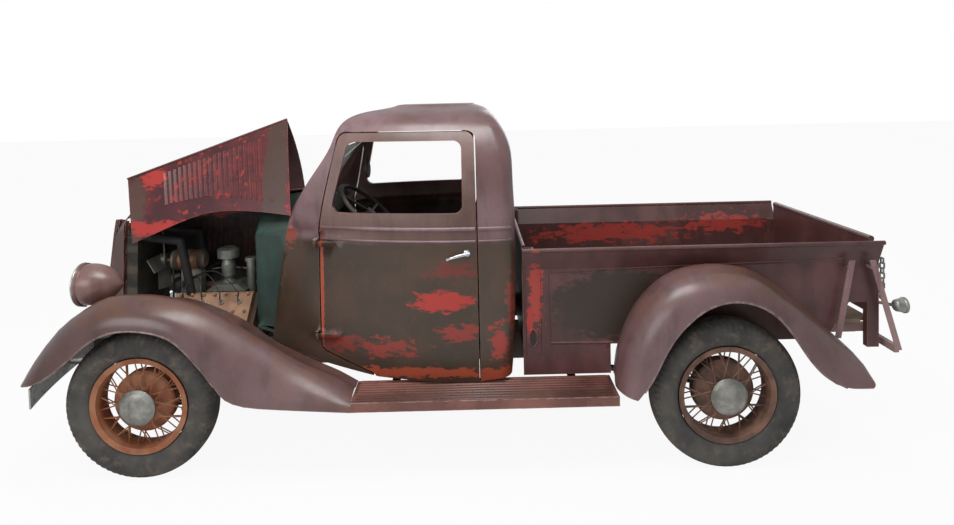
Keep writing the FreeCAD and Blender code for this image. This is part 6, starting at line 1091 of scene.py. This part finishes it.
def padded_seat(name, node):
    """Remesh, blow up as cloth, cap each point's move, then press sewn channels into the pad.

    A channel's depth is a bell curve of the distance from its middle, towards the pad's middle.
    """
    pad = in_scene(name, nodes[node].data.copy())
    merged(pad.data)
    even = pad.modifiers.new("even", "REMESH")
    even.mode, even.voxel_size = "VOXEL", EVEN_FACE
    pad.modifiers.new("smooth", "SMOOTH").iterations = SMOOTHINGS
    mesh = as_it_stands(pad)
    pad.data = mesh
    rest = places_of(mesh)
    middle = (rest.min(0) + rest.max(0)) / 2
    rest = middle + (rest - middle) * DRAWN_IN
    mesh.vertices.foreach_set("co", rest.ravel())
    shift = swollen(pad) - rest
    length = np.linalg.norm(shift, axis=1)[:, None]
    placed = rest + shift * np.minimum(1, SWELL / np.maximum(length, 1e-9))
    inward = middle - placed
    inward /= np.linalg.norm(inward, axis=1)[:, None]
    beside = (placed[:, 1] + CHANNEL / 2) % CHANNEL - CHANNEL / 2
    placed += inward * VALLEY_DEPTH * np.exp(-(beside / VALLEY_WIDTH) ** 2)[:, None]
    mesh.vertices.foreach_set("co", placed.ravel())
    mesh.shade_smooth()
    finer = pad.modifiers.new("finer", "SUBSURF")
    finer.levels = finer.render_levels = 1
    mesh.materials.clear()
    mesh.materials.append(seat_leather)
    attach(pad, "truck")
    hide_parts(node)
    print(name, "has", len(mesh.polygons), "faces and moved", round(float(length.max()), 3), "metres at most")


padded_seat("seat_pad", "seat_cushion")
padded_seat("back_pad", "seat_back")

# %% [markdown]
# ## Smooth pressings
# The solids arrive as loose flat triangles, so a curved pressing shows each one. A copy with its
# doubles merged shades smoothly across its curve and stays crisp at its folds, because edges sharper
# than a set angle are kept. The copy stands for its solid, in the same place.

# %% Smooth pressings
CREASE = 0.55
PRESSINGS = {
    "truck": "front_fender_left front_fender_right rear_fender_left rear_fender_right cab_shell headlamps "
             "radiator_shell running_board_left running_board_right front_bumper firewall tail_lamp",
    "left_door": "door_left", "right_door": "door_right",
    "left_hood_top": "hood_top_left", "right_hood_top": "hood_top_right",
}
for body, names in PRESSINGS.items():
    for name in names.split():
        mesh = nodes[name].data.copy()
        merged(mesh)
        mesh.shade_smooth()
        mesh.set_sharp_from_angle(angle=CREASE)
        pressing = in_scene("smooth_" + name, mesh)
        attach(pressing, body)
        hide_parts(name)
print("smooth pressings of", sum(len(names.split()) for names in PRESSINGS.values()), "solids")

# %% [markdown]
# ## Rolled fender lips
# A fender's edge is rolled round a wire, and it catches the light as a pale line round the arch. The
# edge is found by looking outward from the wheel's middle: of the places where such a look meets the
# fender, the nearest is the lip, and a round bead follows those places.

# %% Lines round an arch
ARCH_LOOKS, EVENINGS = 70, 6


def arch_line(tree, x, side, reaches, start, end):
    """For each angle from start to end, the nearest hit of looks from the axle's line at several reaches."""
    line = []
    for angle in np.linspace(math.radians(start), math.radians(end), ARCH_LOOKS):
        look = Vector((math.cos(angle), 0, math.sin(angle)))
        hits = [tree.ray_cast(Vector((x, side * y, TYRE_RADIUS)), look) for y in reaches]
        landed = [(hit[3], tuple(hit[0])) for hit in hits if hit[0] is not None]
        if landed:
            line.append(min(landed)[1])
    return np.array(line)


def evened(line):
    """Each point moves to the mean of itself, counted twice, and its neighbours. The ends stay."""
    for _ in range(EVENINGS):
        line[1:-1] = (line[:-2] + line[1:-1] * 2 + line[2:]) / 4
    return line


print("an arch is read by", ARCH_LOOKS, "looks and evened", EVENINGS, "times")

# %% Fender lips
LIP = 0.0055
ARCHES = (("rear_fender_", AXLES["rear_right"][0], np.linspace(0.80, 0.879, 24), 4, 172),
          ("front_fender_", AXLES["front_right"][0], np.linspace(0.74, 0.853, 24), 18, 176))
for side, word in SIDES:
    lines = [arch_line(skin(fender + word), x, side, reaches, start, end)
             for fender, x, reaches, start, end in ARCHES]
    beads = [carried(evened(line), LIP, LIP, (0, side, 0), 8) for line in lines]
    piece("fender_lips_" + word, beads, "truck", fender_paint)
    print("lips", word, *[len(line) for line in lines], "points")
